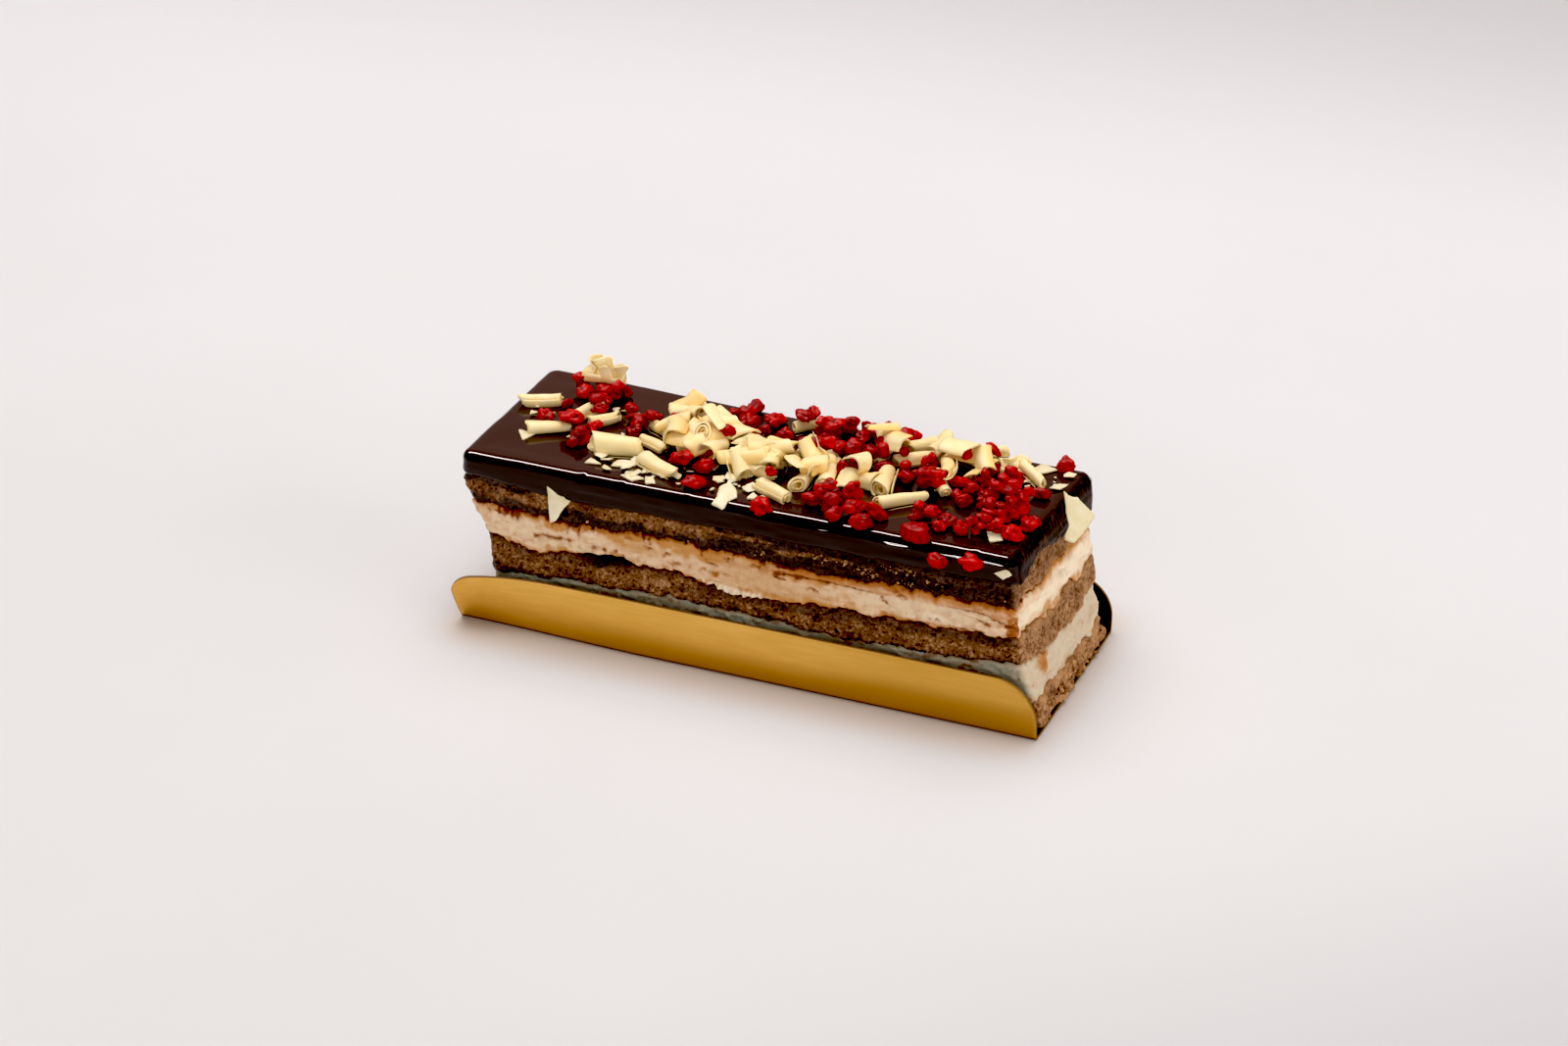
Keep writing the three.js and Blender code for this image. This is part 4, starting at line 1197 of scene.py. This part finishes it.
def ribbon_parts(resting, rng):
    """Loose ruffled sheets that lie over the curls."""
    parts = []
    for x, y in strewn(RIBBON_DRIFTS, rng):
        length, radius = rng.uniform(*RIBBON_LENGTH), rng.uniform(*RIBBON_RADIUS)
        centre = Vector((x, y, resting.height(x, y, RIBBON_BED) + RIBBON_LIFT - radius * 0.6))
        angle = rng.uniform(0, math.pi)
        rise = rng.uniform(-0.3, 0.3)
        half_axis = Vector((math.cos(angle), math.sin(angle), rise)).normalized() * length / 2
        start = rng.uniform(-0.6, 1)
        turns = rng.choice(RIBBON_TURNS)
        parts.append(curl_part(centre, half_axis, radius, turns, start, RIBBON_RUFFLE, rng))
    return parts


def sheet_parts(rng):
    """Wide sheets and rolls at places of their own."""
    parts = []
    for x, y, z, turn, lift, length, radius, turns, start in WIDE_SHEETS:
        turn, lift, start = (math.radians(angle) for angle in (turn, lift, start))
        half_axis = Vector((length / 2 * math.cos(lift), 0, length / 2 * math.sin(lift)))
        half_axis.rotate(Matrix.Rotation(turn, 3, "Z"))
        parts.append(curl_part(Vector((x, y, z)), half_axis, radius, turns, start, SHEET_RUFFLE, rng))
    return parts


def crumb_part(place, size, ball, rng):
    """A small uneven lump."""
    directions, faces = ball
    shape = directions * (1 + 0.35 * noise(directions * 1.7 + rng.random() * 50, 76)[:, None])
    turned = np.array(Matrix.Rotation(rng.uniform(0, FULL_TURN), 3, Vector(rng.normal(size=3)).normalized()))
    shape = (shape * size * rng.uniform(0.45, 1.4, 3)) @ turned
    return shape + place, faces, np.full(len(directions), rng.random())


def crumb_parts(walk, heights, count, sizes, ball, rng):
    """Crumbs that stick to the sides between two heights."""
    part = walk.pick(rng.integers(0, walk.count, count))
    z = rng.uniform(*heights, count)
    places = part.points(z, rng.uniform(0, 0.3, count))
    return [crumb_part(place, lerp(*sizes, rng.random() ** 2), ball, rng) for place in places]


def crumbs(walk, sponge):
    """Crumbs along the foot of the cut, and paler ones on the sponges. Those in patches on the wet top
    sponge also stand in as painted glints.
    """
    rng = np.random.default_rng(CRUMB_SEED)
    ball = ball_mesh(2)
    foot = crumb_parts(walk.pick(np.flatnonzero(walk.nx > 0.7)), *FOOT_CRUMBS, ball, rng)
    pale = [part for band in PALE_CRUMBS for part in crumb_parts(walk, *band, ball, rng)]
    # Patches of pale specks on the wet top sponge: crumbs that also stand in as painted glints
    wet = walk.pick(np.flatnonzero((np.abs(walk.ny) > 0.9) & (walk.u > -0.1)))
    for _ in range(CRUMB_PATCHES):
        first = rng.integers(0, wet.count - PATCH_STEPS)
        level = rng.uniform(*PATCH_LEVELS)
        patch = wet.pick(np.arange(first, first + PATCH_STEPS))
        pale += crumb_parts(patch, (level - 0.6, level + 0.6), 8, (0.08, 0.36), ball, rng)
    groups = [join(parts) for parts in (foot, pale)]
    lightness = [low + 0.4 * values for low, (_, _, values) in zip((0.6, 0.8), groups)]
    smear = [share * values for share, (_, _, values) in zip((0.5, 1), groups)]
    points, faces, _ = join(groups)
    points[:, 2] = np.maximum(points[:, 2], CARD_THICKNESS)
    values = {"crumb": np.concatenate(lightness), "smear": np.concatenate(smear)}
    add_piece("sponge_crumbs", "sponge_middle", [sponge], points, faces, values)


def ball_mesh(subdivisions):
    """Unit directions and triangles of a ball."""
    ball = bmesh.new()
    bmesh.ops.create_icosphere(ball, subdivisions=subdivisions, radius=1)
    points = np.array([vertex.co[:] for vertex in ball.verts])
    faces = np.array([[vertex.index for vertex in face.verts] for face in ball.faces])
    ball.free()
    return points, faces


def fruit_part(bit, ball, rng):
    """An uneven bit with a few rounded lumps."""
    x, y, z, radius = bit
    directions, faces = ball
    place = rng.uniform(0, 90, 3)
    lumps = clouds(directions * 1.1 + place, 2, 74)
    near, _ = nearest_seed(directions * rng.uniform(1, 1.5) + place, 81)
    dome = np.maximum(-0.6, 1 - (near / 0.75) ** 2)
    reach = 0.72 + 0.24 * lumps + 0.2 * dome + 0.06 * clouds(directions * 4 + place, 2, 82)
    # Painted shade in the creases between the lumps, with a random darker tone for each bit
    crease = smooth(-0.6, 0.7, dome + 0.4 * lumps) * rng.uniform(0.45, 1)
    axis = Vector(rng.normal(size=3)).normalized()
    turned = np.array(Matrix.Rotation(rng.uniform(0, FULL_TURN), 3, axis))
    shape = (directions * reach[:, None] * rng.uniform(0.7, 1.3, 3)) @ turned
    return shape * radius * np.array(BIT_STRETCH) + (x, y, z), faces, crease


def add_topping(name, material, parts, key):
    points, faces, values = join(parts)
    add_piece(name, "glaze", [material], points, faces, {key: values})


def toppings(chocolate, chip, fruit):
    """White chocolate and dried fruit on the glaze."""
    rng = np.random.default_rng(TOPPING_SEED)
    resting = Resting()
    low = [resting.curl(*curl) for curl in LOW_CURLS]
    bits = rest_bits(resting)
    high = [resting.curl(*curl) for curl in HIGH_CURLS]
    small = small_bits(resting, rng)
    curls = curl_parts(low + high, rng) + ribbon_parts(resting, rng) + ruffle_parts(rng) + sheet_parts(rng)
    add_topping("chocolate_curls", chocolate, curls, "shade")
    shards = [ragged_shard(shard, *SHARD_FORM, rng) for shard in SHARDS]
    shards += [shard_part(*shard, rng) for shard in LARGE_SHARDS]
    add_topping("chocolate_shards", chip, shards, "shade")
    add_topping("chocolate_chips", chip, chip_parts(rng), "shade")
    groups = [(bits, ball_mesh(4)), (small + TOP_BITS, ball_mesh(3))]
    lumps = [fruit_part(bit, ball, rng) for group, ball in groups for bit in group]
    add_topping("fruit_bits", fruit, lumps, "crease")


def corner_inset(height, radius):
    """How far a rounded upper corner of a flap stands back at a height."""
    rise = np.clip(height - (FLAP_HEIGHT - radius), 0, radius)
    return radius - np.sqrt(radius ** 2 - rise ** 2)


def card_row(kind, share):
    """Points along the outside and inside of the card's rear half, at a share of its base, fold or flap."""
    tangent = FOLD_RADIUS * math.tan((math.pi / 2 - FLAP_LEAN) / 2)
    height = lerp(tangent, FLAP_HEIGHT, share) if kind == "flap" else 0
    left = corner_inset(height, LEFT_FLAP_CORNER) - CARD_LENGTH / 2
    right = CARD_LENGTH / 2 - corner_inset(height, RIGHT_FLAP_CORNER)
    x = lerp(left, right, np.linspace(0, 1, CARD_COLUMNS))
    flare = np.maximum(0, 1 - (x + CARD_LENGTH / 2) / FLARE_REACH) ** 2
    turn = math.pi / 2 - (FLAP_LEAN + FLARE_LEAN * flare)
    length = FOLD_RADIUS * np.tan(turn / 2)
    spread = FOOT_SPREAD * smooth(-CARD_LENGTH / 2, -20, x)
    start = CARD_WIDTH / 2 + spread - length
    if kind == "base":
        y, z, angle = start * share, 0 * x, 0 * x
    elif kind == "fold":
        angle = turn * share
        y = start + FOLD_RADIUS * np.sin(angle)
        z = FOLD_RADIUS * (1 - np.cos(angle))
    else:
        angle = turn
        along = lerp(length, FLAP_HEIGHT, share)
        rise = along / FLAP_HEIGHT
        wave = 0.14 * noise(np.stack([x / 26, 0 * x + share * 0.8, 0 * x], axis=-1), 75) * share
        y = CARD_WIDTH / 2 + along * np.cos(turn) + (FLAP_CURVE * along + spread) * (1 - rise) + wave
        z = along * np.sin(turn)
    outer = np.stack([x, y, z], axis=-1)
    inward = np.stack([0 * x, -np.sin(angle), np.cos(angle)], axis=-1)
    return outer, outer + CARD_THICKNESS * inward


def card_piece(gold, black, edge):
    """The folded card: gold outside, black inside, plain along its edges."""
    rows = [("base", share) for share in np.linspace(0, 1, BASE_ROWS)]
    rows += [("fold", share) for share in np.linspace(0, 1, FOLD_ROWS)[1:]]
    rows += [("flap", share) for share in np.sin(np.linspace(0, math.pi / 2, FLAP_ROWS))[1:]]
    outer, inner = (np.array(side) for side in zip(*(card_row(*row) for row in rows)))
    mirror = (1, -1, 1)
    points, faces = slab(*(np.concatenate([(side * mirror)[:0:-1], side]) for side in (inner, outer)))
    kinds = np.repeat((1, 0, 2), [len(part) for part in faces])
    faces = np.concatenate(faces)
    add_piece("folded_card", "card", [gold, black, edge], points, faces, face_materials=kinds)


def add_light(name, place, size, watts, colour, lights_surfaces):
    light = bpy.data.lights.new(name, "AREA")
    light.shape = "RECTANGLE"
    light.size, light.size_y = size
    light.energy = watts
    light.color = colour
    lamp = bpy.data.objects.new(name, light)
    lamp.location = place
    lamp.visible_diffuse = lights_surfaces
    lamp.visible_glossy = not lights_surfaces
    target = Vector(CAMERA_TARGET) * MM
    lamp.rotation_euler = (target - lamp.location).to_track_quat("-Z", "Y").to_euler()
    bpy.context.scene.collection.objects.link(lamp)


def add_floor():
    mesh = bpy.data.meshes.new("pale_table")
    corners = [(-1, -1), (1, -1), (1, 1), (-1, 1)]
    mesh.from_pydata([(x * FLOOR_HALF, y * FLOOR_HALF, 0) for x, y in corners], [], [(0, 1, 2, 3)])
    mesh.materials.append(floor_material())
    floor = bpy.data.objects.new("pale_table", mesh)
    bpy.context.scene.collection.objects.link(floor)


def add_camera():
    """The photo's camera."""
    camera_data = bpy.data.cameras.new("photo_camera")
    camera_data.lens = CAMERA_LENS
    camera_data.sensor_width = SENSOR_WIDTH
    camera = bpy.data.objects.new("photo_camera", camera_data)
    back = Vector((
        math.sin(CAMERA_AZIMUTH) * math.cos(CAMERA_ELEVATION),
        -math.cos(CAMERA_AZIMUTH) * math.cos(CAMERA_ELEVATION),
        math.sin(CAMERA_ELEVATION),
    ))
    right = Vector((0, 0, 1)).cross(back).normalized()
    turned = Matrix((right, back.cross(right), back)).transposed() @ Matrix.Rotation(CAMERA_ROLL, 3, "Z")
    place = (Vector(CAMERA_TARGET) + back * CAMERA_DISTANCE) * MM
    camera.matrix_world = Matrix.Translation(place) @ turned.to_4x4()
    bpy.context.scene.collection.objects.link(camera)
    bpy.context.scene.camera = camera


def studio():
    """Pale table, soft light from above, the photo's camera and its tones."""
    add_floor()
    for light in LIGHTS:
        add_light(*light)
    add_camera()
    world = bpy.data.worlds.new("studio")
    world.use_nodes = True
    sky = world.node_tree.nodes["Background"].inputs
    sky["Color"].default_value = WORLD_COLOUR
    sky["Strength"].default_value = WORLD_STRENGTH
    bpy.context.scene.world = world
    view = bpy.context.scene.view_settings
    view.view_transform = "Standard"
    view.use_curve_mapping = True
    view.curve_mapping.black_level = BLACK_LEVEL
    view.curve_mapping.update()


def build():
    """All pieces from the foot up, then the card and the studio."""
    walk = Walk(LAYER_STEP)
    sponge = sponge_material(
        "chocolate_sponge", dark=srgb(55, 31, 20), brown=srgb(133, 90, 59), light=srgb(192, 147, 108),
        smeared=srgb(210, 160, 114),
    )
    peach = cream_material(
        "peach_cream", cream=srgb(206, 150, 88), pale=srgb(247, 227, 198), tinged=srgb(192, 124, 68),
        brown=srgb(120, 60, 26), shaded=srgb(20, 11, 8),
    )
    white = cream_material(
        "white_cream", cream=srgb(200, 174, 139), pale=srgb(222, 206, 180), tinged=srgb(190, 128, 70),
        brown=srgb(140, 88, 54), shaded=srgb(184, 178, 156),
    )
    rolled = chocolate_material(
        "white_chocolate", cream=srgb(251, 228, 172), pale=srgb(251, 236, 197), deep=srgb(249, 211, 136),
    )
    thin = chocolate_material(
        "thin_chocolate", cream=srgb(232, 216, 176), pale=srgb(242, 231, 202), deep=srgb(220, 200, 152),
    )
    sponge_piece(walk, "sponge_bottom", sponge, bottom_soak)
    cream_piece(walk, "cream_lower", white, lower_cream_relief)
    sponge_piece(walk, "sponge_middle", sponge, middle_soak_and_shade)
    cream_piece(walk, "cream_upper", peach, upper_cream_relief)
    sponge_piece(walk, "sponge_top", sponge, top_soak)
    glaze_piece([glaze_material(), cut_glaze_material()])
    toppings(rolled, thin, fruit_material())
    crumbs(walk, sponge)
    card_piece(gold_material(), black_card_material(), card_edge_material())
    studio()


build()
